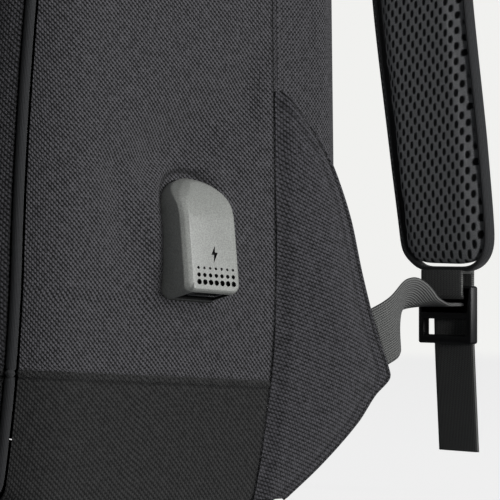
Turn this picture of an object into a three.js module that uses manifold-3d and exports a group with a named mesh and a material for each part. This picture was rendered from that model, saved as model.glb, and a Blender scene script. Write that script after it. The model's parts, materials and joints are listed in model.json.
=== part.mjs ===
// A laptop backpack that stands on its flat base, in millimetres.
// X runs to the bag's port side, Y from the front to the wearer's back, Z up.
// The origin is the middle of the base.
import * as THREE from "three";
import { mergeVertices } from "three/addons/utils/BufferGeometryUtils.js";
import Module from "manifold-3d";

// Body
const bodyWidth = 300;
const topWidth = 284;
const bodyHeight = 440;
const rearReach = 38; // from the main seam back to the plane of the back panel
const frontReachLow = 122; // from the main seam forward to the front, at the base
const frontReachTop = 86;
const frontBulge = 8;
const baseCentreShift = 42; // how far the main seam lies behind the middle of the base
const upperCornerRadius = 70;
const seamCornerRadius = 12; // lower corners at the main seam and in front of it
const rearCornerRadius = 58; // lower corners of the outline at the back panel
const frontEdgeRadius = 32;
const rearEdgeRadius = 16;
const baseTuck = 18; // how far the sides draw in at the base
const tuckHeight = 100;
const frontDome = 6;
const fieldEnd = 125; // the middle line of a flat field stops this far from the base and the top

// Cloth
const shellWall = 3;
const backWall = 4;
const sewGap = 0.3; // between pieces that touch
const bandHeight = 51.5; // top of the black band at the main seam
const bandSlope = 0.06; // how fast the band rises towards the front
const pipingRadius = 2;
const pipingSunk = 0.8; // its middle lies this far under the cloth's face

// Main zip and back panel
const zipWidth = 10;
const zipWall = 1.6;
const padDepth = 6;
const padWidth = 92;
const padSpacing = 124;
const padTop = 360;
const padBottom = 40;
const sliderLength = 12;
const sliderWidth = 9;
const sliderDepth = 3.6;
const pullLength = 24;
const pullWidth = 6;
const sliderSpacing = 22;

// Folds of the side cloth
const foldDepth = 5;
const foldWidth = 13;

// Charging port
const portAhead = 40; // in front of the main seam
const portHeight = 108.75;
const portWidth = 24.5;
const portLength = 46.5;
const portProud = 11.5; // middle of its face beyond the side of the bag
const portDepth = 24;
const portTilt = THREE.MathUtils.degToRad(12); // its top leans in
const portTurn = THREE.MathUtils.degToRad(4);
const portBevel = 1.4;
const portDive = 9; // how far its face curves into the bag at the top
const portDiveStart = 4; // above the middle of its face
const portDiveSteps = 9;
const portSink = 6; // how deep the cloth sinks above the port
const portSinkReach = 0.42; // as a share of the housing's length
const holePitch = 2.69;
const holesShift = 1.2; // from the middle of the face towards the back
const holeDepth = 1.6;
const holesAbove = 3.7; // from the housing's lower edge to the lowest row of holes
const socketWidth = 13;
const socketHeight = 5.7;
const socketLength = 12;
const socketWall = 0.5;
const socketBehindFace = 3;
const tongueWidth = 11;
const tongueThickness = 1.8;
const tongueFoot = 2.5;
const tongueLength = 9.5;

// Wings at the sides
const wingReach = 58;
const wingTop = 163;
const wingBottom = 5;
const wingWall = 2.6;
const wingBulge = 4.5;

// Shoulder straps
const strapWidth = 66;
const strapThickness = 9;
const strapTopSpacing = 108;
const strapEndSpacing = 228;
const strapAnchorHeight = 396;
const strapEndHeight = 94;
const strapStandoff = 76;
const webbingWidth = 25;
const webbingThickness = 1.6;
const webbingSlack = 0.6; // between the webbing and the buckle's bars
const tailHeight = 18; // lower end of the webbing's tail above the base
const webbingHeight = 67; // middle of the webbing where it leaves the wing
const webbingHump = 0; // how far the webbing arches up on its way to the buckle
const webbingSeat = 0.9; // between the wing's edge and the webbing's end
const webbingDrop = 1; // how far below the top of the bar the webbing starts to turn down

// Adjuster buckle
const lockWidth = 33;
const lockHeight = 24;
const lockThickness = 4;
const lockBar = 3.6;
const lockSlotWidth = 26.6;
const lockFromStrap = 7;

// Grab handle
const handleSpan = 92;
const handleRise = 34;
const handleThickness = 3.5;
const handleTab = 20;

const seamY = baseCentreShift;
const backY = seamY + rearReach;

// How finely the outline is divided, from the middle of the base up one side to the middle of the top
const outlineSteps = { base: 3, lowerCorner: 4, side: 13, upperCorner: 5, top: 3 };
const sideCrowding = 1.35;

const cloths = {
  heather: new THREE.MeshStandardMaterial({ color: 0x48474b, roughness: 0.95, metalness: 0 }),
  band: new THREE.MeshStandardMaterial({ color: 0x2e2e2e, roughness: 0.9, metalness: 0 }),
  mesh: new THREE.MeshStandardMaterial({ color: 0x17181a, roughness: 0.95, metalness: 0 }),
  webbing: new THREE.MeshStandardMaterial({ color: 0x5c5d5b, roughness: 0.85, metalness: 0 }),
  housing: new THREE.MeshStandardMaterial({ color: 0xa2a4a1, roughness: 0.45, metalness: 0 }),
  plastic: new THREE.MeshStandardMaterial({ color: 0x1b1b1c, roughness: 0.5, metalness: 0 }),
  metal: new THREE.MeshStandardMaterial({ color: 0xb9babb, roughness: 0.3, metalness: 1 }),
};

const wasm = await Module();
wasm.setup();

const bag = new THREE.Group();

function addPiece(name, geometry, material) {
  geometry.computeVertexNormals();
  const mesh = new THREE.Mesh(geometry, material);
  mesh.name = name;
  bag.add(mesh);
}

// A closed surface with its shared vertices merged, its collapsed faces dropped and its faces pointing out.
function closedSurface(geometry) {
  const bare = geometry.clone();
  for (const name of Object.keys(bare.attributes)) {
    if (name !== "position") bare.deleteAttribute(name);
  }
  const merged = mergeVertices(bare, 1e-4);
  const corner = merged.index.array;
  const spot = merged.getAttribute("position");
  const faces = [];
  let volume = 0;
  const [a, b, c] = [new THREE.Vector3(), new THREE.Vector3(), new THREE.Vector3()];
  for (let i = 0; i < corner.length; i += 3) {
    const [p, q, r] = [corner[i], corner[i + 1], corner[i + 2]];
    if (p === q || q === r || r === p) continue;
    faces.push([p, q, r]);
    a.fromBufferAttribute(spot, p);
    b.fromBufferAttribute(spot, q);
    c.fromBufferAttribute(spot, r);
    volume += a.dot(b.cross(c));
  }
  const outward = volume > 0 ? faces : faces.map(([p, q, r]) => [p, r, q]);
  merged.setIndex(outward.flat());
  return merged;
}

function toSolid(geometry) {
  const closed = closedSurface(geometry);
  return new wasm.Manifold(
    new wasm.Mesh({
      numProp: 3,
      vertProperties: new Float32Array(closed.getAttribute("position").array),
      triVerts: new Uint32Array(closed.index.array),
    }),
  );
}

function toGeometry(solid) {
  const { vertProperties, triVerts } = solid.getMesh();
  const geometry = new THREE.BufferGeometry();
  geometry.setAttribute("position", new THREE.BufferAttribute(vertProperties, 3));
  geometry.setIndex(new THREE.BufferAttribute(triVerts, 1));
  return geometry;
}

// Joins rings of points in order. The ends are capped, joined to each other, or folded flat already.
function loft(rings, ends = "capped") {
  const size = rings[0].length;
  const faces = [];
  const joins = ends === "joined" ? rings.length : rings.length - 1;
  for (let i = 0; i < joins; i += 1) {
    const near = i * size;
    const far = ((i + 1) % rings.length) * size;
    for (let j = 0; j < size; j += 1) {
      const k = (j + 1) % size;
      faces.push([near + j, far + j, far + k], [near + j, far + k, near + k]);
    }
  }
  if (ends === "capped") {
    const end = joins * size;
    for (let j = 1; j < size - 1; j += 1) {
      faces.push([0, j, j + 1], [end, end + j + 1, end + j]);
    }
  }
  const geometry = new THREE.BufferGeometry().setFromPoints(rings.flat());
  geometry.setIndex(faces.flat());
  return closedSurface(geometry);
}

function span(from, to, steps) {
  return Array.from({ length: steps + 1 }, (_, i) => from + ((to - from) * i) / steps);
}

function blend(from, to, share) {
  return from + (to - from) * share;
}

// Reads a column of a table at a share, with a smooth curve through its rows.
function columnAt(table, key, column, share) {
  const rows = [table[0], ...table, table[table.length - 1]];
  let i = 1;
  while (i < table.length - 1 && table[i][key] < share) i += 1;
  const [before, from, to, after] = [rows[i - 1], rows[i], rows[i + 1], rows[i + 2]];
  const t = THREE.MathUtils.clamp((share - from[key]) / (to[key] - from[key]), 0, 1);
  const slopeFrom = (to[column] - before[column]) / (to[key] - before[key]);
  const slopeTo = (after[column] - from[column]) / (after[key] - from[key]);
  const step = to[key] - from[key];
  const [t2, t3] = [t * t, t * t * t];
  return (
    from[column] * (2 * t3 - 3 * t2 + 1) +
    slopeFrom * step * (t3 - 2 * t2 + t) +
    to[column] * (3 * t2 - 2 * t3) +
    slopeTo * step * (t3 - t2)
  );
}

// Half the bag's width at a height: it narrows to the top and draws in at the base.
function halfWidthAt(height) {
  const narrowing = ((bodyWidth - topWidth) / 2) * (height / bodyHeight);
  const tuck = baseTuck * Math.max(0, 1 - height / tuckHeight) ** 2;
  return bodyWidth / 2 - narrowing - tuck;
}

// The angle of the side's outward normal, below the horizontal where the side draws in.
function sideAngleAt(height) {
  const slope = halfWidthAt(height + 0.5) - halfWidthAt(height - 0.5);
  return -Math.atan(slope);
}

function cornerSpots(end, radius, fromAngle, toAngle, steps) {
  const turn = sideAngleAt(end);
  const middle = { x: halfWidthAt(end) - radius * Math.cos(turn), z: end - radius * Math.sin(turn) };
  return span(fromAngle ?? turn, toAngle ?? turn, steps).map((angle) => ({
    x: middle.x + radius * Math.cos(angle),
    z: middle.z + radius * Math.sin(angle),
    nx: Math.cos(angle),
    nz: Math.sin(angle),
  }));
}

// The bag's outline from the front as one loop of spots with their outward directions.
function outline(lowerRadius) {
  let lowerEnd = lowerRadius;
  for (let i = 0; i < 8; i += 1) lowerEnd = lowerRadius * (1 + Math.sin(sideAngleAt(lowerEnd)));
  const upperEnd = bodyHeight - upperCornerRadius * (1 - Math.sin(sideAngleAt(bodyHeight)));
  const lower = cornerSpots(lowerEnd, lowerRadius, -Math.PI / 2, null, outlineSteps.lowerCorner);
  const upper = cornerSpots(upperEnd, upperCornerRadius, null, Math.PI / 2, outlineSteps.upperCorner);
  const base = span(0, 1, outlineSteps.base).map((share) => ({
    x: lower[0].x * share, z: 0, nx: 0, nz: -1,
  }));
  const side = span(0, 1, outlineSteps.side).map((share) => {
    const z = blend(lowerEnd, upperEnd, share ** sideCrowding);
    const angle = sideAngleAt(z);
    return { x: halfWidthAt(z), z, nx: Math.cos(angle), nz: Math.sin(angle) };
  });
  const rim = upper[upper.length - 1];
  const top = span(1, 0, outlineSteps.top).map((share) => ({
    x: rim.x * share, z: rim.z, nx: 0, nz: 1,
  }));
  const right = [...base.slice(0, -1), ...lower.slice(0, -1), ...side.slice(0, -1),
    ...upper.slice(0, -1), ...top];
  const left = right.slice(1, -1).reverse().map((spot) => ({ ...spot, x: -spot.x, nx: -spot.nx }));
  return [...right, ...left];
}

// Where the front lies at a height.
function frontY(height) {
  const share = THREE.MathUtils.clamp(height / bodyHeight, 0, 1);
  const reach = blend(frontReachLow, frontReachTop, THREE.MathUtils.smoothstep(share, 0, 1));
  return seamY - reach - frontBulge * Math.sin(Math.PI * share);
}

// Folds of the side cloth. Ahead is a share of the front's reach from the main seam, up a share of the height.
const folds = [
  { ahead: 0.45, up: 0.31, toAhead: 0.02, toUp: 0.373, width: 1, depth: 0.8 },
  { ahead: 0.6, up: 0.3, toAhead: 0.58, toUp: 0.24, width: 0.5, depth: 0.5 },
  { ahead: 0.1, up: 0.62, toAhead: 0.62, toUp: 0.7, width: 1.8, depth: 0.7 },
];

function segmentDistance(y, z, from, to) {
  const [runY, runZ] = [to.y - from.y, to.z - from.z];
  const share = ((y - from.y) * runY + (z - from.z) * runZ) / (runY * runY + runZ * runZ);
  const t = THREE.MathUtils.clamp(share, 0, 1);
  return Math.hypot(y - from.y - t * runY, z - from.z - t * runZ);
}

// How deep the side cloth lies below its plain form, and the hollow above the port on the port's own side.
function sinkAt(spot, y) {
  const facing = Math.abs(spot.nx);
  let sink = 0;
  for (const fold of folds) {
    const from = { y: seamY - fold.ahead * frontReachLow, z: fold.up * bodyHeight };
    const to = { y: seamY - fold.toAhead * frontReachLow, z: fold.toUp * bodyHeight };
    const away = segmentDistance(y, spot.z, from, to) / (foldWidth * fold.width);
    sink += foldDepth * fold.depth * Math.exp(-away * away);
  }
  if (spot.nx > 0) {
    const reach = portLength * portSinkReach;
    const awayY = (y - (seamY - portAhead)) / reach;
    const awayZ = (spot.z - (portHeight + portLength / 2)) / reach;
    sink += portSink * Math.exp(-(awayY * awayY + awayZ * awayZ));
  }
  return sink * facing * THREE.MathUtils.smoothstep(seamY - y, 0, foldWidth);
}

// Lines of the shell, from the middle of the front to the middle of the back. The front edge is rounded from 1 to 2
// and the rear edge from 4 to 5.
const line = { frontMiddle: 0, frontEdge: 1, piping: 1.5, sideTurn: 1.8, frontSide: 2, mainSeam: 3,
  rearSide: 4, rearTurn: 4.35, rearBend: 4.7, zipEdge: 4.98, rearEdge: 5, backPanel: 6, backMiddle: 7 };

// How far the front edge draws the shell in from the outline at a line along it.
function frontInset(along) {
  const angle = (THREE.MathUtils.clamp(along - line.frontEdge, 0, 1) * Math.PI) / 2;
  return frontEdgeRadius * (1 - Math.sin(angle));
}

// Lower corner radius along the shell. In front it grows with the inset, so that the corner that is left stays as
// tight as at the main seam. Behind the seam it opens to the back.
function lowerRadiusAt(along) {
  const opening = THREE.MathUtils.smoothstep(along, line.mainSeam, line.rearEdge);
  return blend(seamCornerRadius + frontInset(along), rearCornerRadius, opening);
}

// A spot pushed in from the outline, at a depth.
function pushedIn(spot, inset, y) {
  return new THREE.Vector3(spot.x - inset * spot.nx, y, spot.z - inset * spot.nz);
}

// A point of a flat field: from its rim towards the upright line in its middle.
function fieldPoint(rim, share) {
  const z = THREE.MathUtils.clamp(rim.z, fieldEnd, bodyHeight - fieldEnd);
  return new THREE.Vector3(rim.x * share, rim.y, blend(z, rim.z, share));
}

// Relief of the two long pads of the back panel.
function padRelief(x, z) {
  const across = (Math.abs(x) - padSpacing / 2) / (padWidth / 2);
  const up = (z - (padTop + padBottom) / 2) / ((padTop - padBottom) / 2);
  return padDepth * Math.max(0, 1 - across ** 4) * Math.max(0, 1 - up ** 8);
}

// The point of the shell at a spot of its outline and a line along it, this far under its outer face.
function shellPoint(spot, along, under) {
  const stage = Math.min(Math.floor(along), line.backPanel);
  const part = along - stage;
  if (stage === 0) {
    const rim = pushedIn(spot, frontEdgeRadius, 0);
    const point = fieldPoint(rim, part);
    point.y = frontY(point.z) - frontDome * (1 - part * part) + under;
    return point;
  }
  if (stage === 1) {
    const angle = (part * Math.PI) / 2;
    const radius = frontEdgeRadius - under;
    const edge = pushedIn(spot, under + radius * (1 - Math.sin(angle)), 0);
    edge.y = frontY(edge.z) + under + radius * (1 - Math.cos(angle));
    return edge;
  }
  if (stage === 2) {
    const edge = pushedIn(spot, under, 0);
    const y = blend(frontY(edge.z) + frontEdgeRadius, seamY, part);
    return pushedIn(spot, under + sinkAt(spot, y), y);
  }
  if (stage === 3) {
    return pushedIn(spot, under, blend(seamY, backY - rearEdgeRadius, part));
  }
  if (stage === 4) {
    const angle = (part * Math.PI) / 2;
    const radius = rearEdgeRadius - under;
    const inset = under + radius * (1 - Math.cos(angle));
    return pushedIn(spot, inset, backY - rearEdgeRadius + radius * Math.sin(angle));
  }
  if (stage === 5) {
    return pushedIn(spot, rearEdgeRadius + zipWidth * part, backY - under);
  }
  const rim = pushedIn(spot, rearEdgeRadius + zipWidth, backY);
  const point = fieldPoint(rim, 1 - part);
  const relief = under > 0 ? 0 : padRelief(point.x, point.z);
  point.y = backY - under + relief;
  return point;
}

function shellRing(along, under) {
  return outline(lowerRadiusAt(along)).map((spot) => shellPoint(spot, along, under));
}

// A closed ring of wall that follows some lines of the shell outside and some inside.
function shellWallSolid(outerLines, innerLines, wall) {
  const outer = outerLines.map((along) => shellRing(along, 0));
  const inner = innerLines.map((along) => shellRing(along, wall)).reverse();
  return loft([...outer, ...inner], "joined");
}

// A closed field with no hole in it, from its middle to its rim.
function shellField(outerLines, innerLines, wall) {
  const outer = outerLines.map((along) => shellRing(along, 0));
  const inner = innerLines.map((along) => shellRing(along, wall)).reverse();
  return loft([...outer, ...inner], "folded");
}

// Everything above or below the sloped plane where the black band ends.
function bandBox(above) {
  const size = 2 * (bodyHeight + bodyWidth);
  const box = new THREE.BoxGeometry(size, size, size);
  box.translate(0, 0, (above ? 1 : -1) * (size / 2 + sewGap / 2));
  box.rotateX(-Math.atan(bandSlope));
  box.translate(0, seamY, bandHeight);
  return toSolid(box);
}

// A length round the front edge as a part of the shell's lines.
function alongFrontEdge(length) {
  return length / ((frontEdgeRadius * Math.PI) / 2);
}

function addShell() {
  const above = bandBox(true);
  const below = bandBox(false);
  const pipingGap = alongFrontEdge(pipingRadius + sewGap);
  const seam = sewGap / 2 / (frontReachLow - frontEdgeRadius);
  const frontRim = line.piping - pipingGap;
  const sideRim = line.piping + pipingGap;

  const frontTurn = (line.frontEdge + frontRim) / 2;
  const front = toSolid(
    shellField([...span(line.frontMiddle, line.frontEdge, 4), frontTurn, frontRim],
      [...span(line.frontMiddle, line.frontEdge, 2), frontRim], shellWall),
  );
  addPiece("front_panel", toGeometry(front.intersect(above)), cloths.heather);
  addPiece("front_band", toGeometry(front.intersect(below)), cloths.band);

  const sideEnd = line.mainSeam - seam;
  const side = toSolid(
    shellWallSolid([sideRim, line.sideTurn, ...span(line.frontSide, sideEnd, 8)],
      [sideRim, ...span(line.frontSide, sideEnd, 4)], shellWall),
  );
  addPiece("side_gusset", toGeometry(side.intersect(above).subtract(portOpening())), cloths.heather);
  addPiece("base_gusset", toGeometry(side.intersect(below)), cloths.band);

  const rearStart = line.mainSeam + sewGap / 2 / (rearReach - rearEdgeRadius);
  addPiece("rear_gusset",
    shellWallSolid([...span(rearStart, line.rearSide, 2), line.rearTurn, line.rearBend, line.zipEdge],
      [rearStart, line.rearSide, line.rearTurn, line.rearBend, line.zipEdge], shellWall), cloths.heather);

  const zipShare = sewGap / zipWidth;
  addPiece("zip_tape",
    shellWallSolid([line.rearEdge + zipShare, line.backPanel - zipShare],
      [line.rearEdge + zipShare, line.backPanel - zipShare], zipWall), cloths.band);
  addPiece("back_panel",
    shellField([...span(line.backMiddle, line.backPanel, 7)], [...span(line.backMiddle, line.backPanel, 2)],
      backWall), cloths.mesh);

  addPiece("front_piping", pipingSolid(), cloths.band);
}

// The round cord sewn into the front edge: each point of its section follows the shell's own lines.
function pipingSolid() {
  const sides = 6;
  const rings = span(0, 2 * Math.PI, sides).slice(0, -1).map((angle) =>
    shellRing(line.piping + alongFrontEdge(pipingRadius * Math.cos(angle)),
      pipingSunk - pipingRadius * Math.sin(angle)));
  return loft(rings, "joined");
}

// Turns a drawing with x towards the back and y up to face the bag's port side.
function facingPortSide(geometry) {
  return geometry.applyMatrix4(new THREE.Matrix4().makeBasis(
    new THREE.Vector3(0, 1, 0), new THREE.Vector3(0, 0, 1), new THREE.Vector3(1, 0, 0)));
}

// Puts a piece that is drawn face on into its place in the bag's side.
function intoPort(geometry) {
  const tilted = geometry.rotateX(-portTilt).rotateZ(-portTurn);
  const x = halfWidthAt(portHeight) + portProud;
  return facingPortSide(tilted).translate(x, seamY - portAhead, portHeight);
}

// A tombstone outline, this far outside the housing's own.
function portShape(grow) {
  const half = portWidth / 2 + grow;
  const foot = -portLength / 2 - grow;
  const shoulder = portLength / 2 - portWidth / 2;
  const shape = new THREE.Shape();
  shape.moveTo(-half, foot);
  shape.lineTo(half, foot);
  shape.absarc(0, shoulder, half, 0, Math.PI, false);
  shape.lineTo(-half, foot);
  return shape;
}

function portOpening() {
  const prism = new THREE.ExtrudeGeometry(portShape(sewGap), {
    depth: portDepth * 2, bevelEnabled: false, curveSegments: 12,
  });
  prism.translate(0, 0, -portDepth * 1.5);
  return toSolid(intoPort(prism));
}

// What the curve at the top of the housing's face takes off: the room above that curve, right across the housing.
function portDiveRoom() {
  const reach = portLength / 2 - portDiveStart;
  const room = new THREE.Shape();
  room.moveTo(portDiveStart, portBevel);
  for (let i = 0; i <= portDiveSteps; i += 1) {
    const share = i / (portDiveSteps - 1);
    room.lineTo(portDiveStart + reach * share, -portDive * share * share);
  }
  room.lineTo(portDiveStart + reach * portDiveSteps / (portDiveSteps - 1), portBevel);
  const prism = new THREE.ExtrudeGeometry(room, { depth: portWidth * 2, bevelEnabled: false });
  prism.translate(0, 0, -portWidth);
  prism.applyMatrix4(new THREE.Matrix4().makeBasis(
    new THREE.Vector3(0, 1, 0), new THREE.Vector3(0, 0, 1), new THREE.Vector3(1, 0, 0)));
  return toSolid(prism);
}

function addPort() {
  const bodyDepth = portDepth - portBevel;
  const block = new THREE.ExtrudeGeometry(portShape(-portBevel), {
    depth: bodyDepth - portBevel, bevelEnabled: true, bevelThickness: portBevel, bevelSize: portBevel,
    bevelSegments: 2, curveSegments: 12,
  });
  block.translate(0, 0, -bodyDepth);
  let housing = toSolid(block).subtract(portDiveRoom());

  const rows = [{ radius: 0.55 }, { radius: 0.8 }, { radius: 1.05 }];
  const columns = 7;
  rows.forEach((row, up) => {
    for (let i = 0; i < columns; i += 1) {
      const hole = new THREE.CylinderGeometry(row.radius, row.radius, holeDepth * 2, 8).rotateX(Math.PI / 2);
      const x = holesShift + (i - (columns - 1) / 2) * holePitch;
      const y = -portLength / 2 + holesAbove + (rows.length - 1 - up) * holePitch;
      housing = housing.subtract(toSolid(hole.translate(x, y, 0)));
    }
  });

  const pocket = new THREE.BoxGeometry(
    socketWidth + 2 * sewGap, socketLength + sewGap, socketHeight + 2 * sewGap);
  const socketMiddle = -socketBehindFace - socketHeight / 2;
  pocket.translate(0, -portLength / 2 + (socketLength + sewGap) / 2 - sewGap, socketMiddle);
  const pocketMouth = new THREE.BoxGeometry(
    socketWidth + 2 * sewGap, 2 * portBevel, socketHeight + 2 * sewGap);
  pocketMouth.translate(0, -portLength / 2, socketMiddle);
  housing = housing.subtract(toSolid(pocket)).subtract(toSolid(pocketMouth));
  addPiece("usb_housing", intoPort(toGeometry(housing)), cloths.housing);

  const foot = -portLength / 2 + sewGap;
  const shellOuter = new THREE.BoxGeometry(socketWidth, socketLength - sewGap * 2, socketHeight);
  shellOuter.translate(0, foot + (socketLength - sewGap * 2) / 2, socketMiddle);
  const shellInner = new THREE.BoxGeometry(
    socketWidth - 2 * socketWall, socketLength * 2, socketHeight - 2 * socketWall);
  shellInner.translate(0, foot, socketMiddle);
  const socket = toSolid(shellOuter).subtract(toSolid(shellInner));
  addPiece("usb_socket", intoPort(toGeometry(socket)), cloths.metal);

  const footBlock = new THREE.BoxGeometry(
    socketWidth - 2 * socketWall - 2 * sewGap, tongueFoot, socketHeight - 2 * socketWall - 2 * sewGap);
  const top = foot + socketLength - sewGap * 2;
  footBlock.translate(0, top - tongueFoot / 2, socketMiddle);
  const blade = new THREE.BoxGeometry(tongueWidth, tongueLength, tongueThickness);
  blade.translate(0, top - tongueLength / 2, socketMiddle + tongueThickness / 2);
  const tongue = toSolid(footBlock).add(toSolid(blade));
  addPiece("usb_tongue", intoPort(toGeometry(tongue)), cloths.plastic);
}

// The free edge of a wing. Up is a share of its height, reach a share of its furthest reach.
const wingEdge = [
  { up: 0, reach: 0.25 },
  { up: 0.08, reach: 0.5 },
  { up: 0.18, reach: 0.76 },
  { up: 0.25, reach: 0.89 },
  { up: 0.29, reach: 1 },
  { up: 0.32, reach: 0.98 },
  { up: 0.41, reach: 0.85 },
  { up: 0.55, reach: 0.71 },
  { up: 0.69, reach: 0.61 },
  { up: 0.8, reach: 0.49 },
  { up: 0.87, reach: 0.38 },
  { up: 0.95, reach: 0.2 },
  { up: 1, reach: 0.06 },
];

// A point of a wing's outer face, across from its seam at 0 to its free edge at 1.
function wingPoint(row, across, under) {
  const z = blend(wingBottom, wingTop, row.up);
  const reach = wingReach * row.reach;
  const bulge = wingBulge * Math.sin(Math.PI * row.up) * Math.sin(Math.PI * Math.min(1, across * 1.1) ** 1.4);
  const x = halfWidthAt(z) + sewGap + wingWall + Math.max(0, bulge) - under;
  return new THREE.Vector3(x, seamY + sewGap + reach * across, z);
}

function wingSolid() {
  const rings = wingEdge.map((row) => {
    const outer = span(0, 1, 5).map((across) => wingPoint(row, across, 0));
    const inner = span(1, 0, 5).map((across) => wingPoint(row, across, wingWall));
    return [...outer, ...inner];
  });
  return loft(rings);
}

// A flat band carried along a list of stations, each with its middle, its width direction and its size.
function bandSolid(stations, sectionSides) {
  const rings = stations.map((station, i) => {
    const before = stations[Math.max(0, i - 1)].middle;
    const after = stations[Math.min(stations.length - 1, i + 1)].middle;
    const run = after.clone().sub(before).normalize();
    const wide = station.wide.clone().addScaledVector(run, -station.wide.dot(run)).normalize();
    const thick = run.clone().cross(wide);
    return sectionSides(station.width / 2, station.thickness / 2).map(([u, v]) =>
      station.middle.clone().addScaledVector(wide, u).addScaledVector(thick, v));
  });
  return loft(rings);
}

function flatSection(halfWidth, halfThickness) {
  return [[-halfWidth, -halfThickness], [halfWidth, -halfThickness],
    [halfWidth, halfThickness], [-halfWidth, halfThickness]];
}

// A padded section: an oval with full sides.
function paddedSection(halfWidth, halfThickness) {
  const sides = 12;
  return span(0, 2 * Math.PI, sides).slice(0, -1).map((angle) => {
    const [c, s] = [Math.cos(angle), Math.sin(angle)];
    return [halfWidth * Math.sign(c) * Math.abs(c) ** 0.4, halfThickness * Math.sign(s) * Math.abs(s) ** 0.7];
  });
}

// The shoulder strap from its anchor down to its end. Up is a share of the height between them, behind of the
// stand-off, across of the way from the top spacing to the end spacing, width of the full width.
const strapRows = [
  { up: 0.96, behind: 0, across: 0, width: 0.78 },
  { up: 1.02, behind: 0.1, across: 0.02, width: 0.82 },
  { up: 1.075, behind: 0.42, across: 0.06, width: 0.88 },
  { up: 1.0, behind: 0.8, across: 0.14, width: 0.95 },
  { up: 0.82, behind: 1.02, across: 0.3, width: 1 },
  { up: 0.6, behind: 1.06, across: 0.5, width: 1 },
  { up: 0.36, behind: 1.0, across: 0.74, width: 0.99 },
  { up: 0.16, behind: 0.99, across: 0.92, width: 0.97 },
  { up: 0.03, behind: 1, across: 1, width: 0.93 },
  { up: 0, behind: 1, across: 1, width: 0.8 },
];

function strapStations() {
  const flush = backY + sewGap + strapThickness / 2;
  const points = strapRows.map((row) => new THREE.Vector3(
    blend(strapTopSpacing / 2, strapEndSpacing / 2, row.across),
    flush + strapStandoff * row.behind,
    blend(strapEndHeight, strapAnchorHeight, row.up)));
  const curve = new THREE.CatmullRomCurve3(points);
  const steps = 27;
  return span(0, 1, steps).map((share) => {
    const rowSpan = share * (strapRows.length - 1);
    const row = Math.min(Math.floor(rowSpan), strapRows.length - 2);
    const width = blend(strapRows[row].width, strapRows[row + 1].width, rowSpan - row);
    return {
      middle: curve.getPoint(share),
      wide: new THREE.Vector3(1, 0, 0),
      width: strapWidth * width,
      thickness: strapThickness,
    };
  });
}

// Middle of the buckle at the strap's end.
function lockMiddle() {
  const end = strapStations().at(-1).middle;
  return new THREE.Vector3(end.x, end.y, strapEndHeight - lockFromStrap - lockHeight / 2);
}

function lockSolid() {
  const middle = lockMiddle();
  const frame = new THREE.BoxGeometry(lockWidth, lockThickness, lockHeight);
  let lock = toSolid(frame.translate(middle.x, middle.y, middle.z));
  const slotHeight = (lockHeight - 3 * lockBar) / 2;
  for (const side of [-1, 1]) {
    const slot = new THREE.BoxGeometry(lockSlotWidth, lockThickness * 2, slotHeight);
    slot.translate(middle.x, middle.y, middle.z + (side * (slotHeight + lockBar)) / 2);
    lock = lock.subtract(toSolid(slot));
  }
  return toGeometry(lock);
}

// The loop of webbing that holds the buckle's upper bar to the strap.
function tabSolid() {
  const middle = lockMiddle();
  const barMiddle = middle.z + lockHeight / 2 - lockBar / 2;
  const halfDepth = lockThickness / 2 + sewGap;
  const bottom = barMiddle - lockBar / 2 - sewGap;
  const top = strapEndHeight - sewGap;
  const wall = webbingThickness;
  const outer = new THREE.Shape([
    new THREE.Vector2(-halfDepth - wall, bottom), new THREE.Vector2(-halfDepth, bottom - wall),
    new THREE.Vector2(halfDepth, bottom - wall), new THREE.Vector2(halfDepth + wall, bottom),
    new THREE.Vector2(halfDepth + wall, top), new THREE.Vector2(-halfDepth - wall, top),
  ]);
  const inner = new THREE.Shape([
    new THREE.Vector2(-halfDepth, bottom), new THREE.Vector2(halfDepth, bottom),
    new THREE.Vector2(halfDepth, top - wall), new THREE.Vector2(-halfDepth, top - wall),
  ]);
  const across = (shape, depth) => {
    const prism = new THREE.ExtrudeGeometry(shape, { depth, bevelEnabled: false }).translate(0, 0, -depth / 2);
    return toSolid(facingPortSide(prism).translate(middle.x, middle.y, 0));
  };
  return toGeometry(across(outer, webbingWidth).subtract(across(inner, webbingWidth * 2)));
}

// The middle of a wing's free edge at a height.
function wingEdgeAt(height) {
  const share = (height - wingBottom) / (wingTop - wingBottom);
  return wingPoint({ up: share, reach: columnAt(wingEdge, "up", "reach", share) }, 1, wingWall / 2);
}

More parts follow.
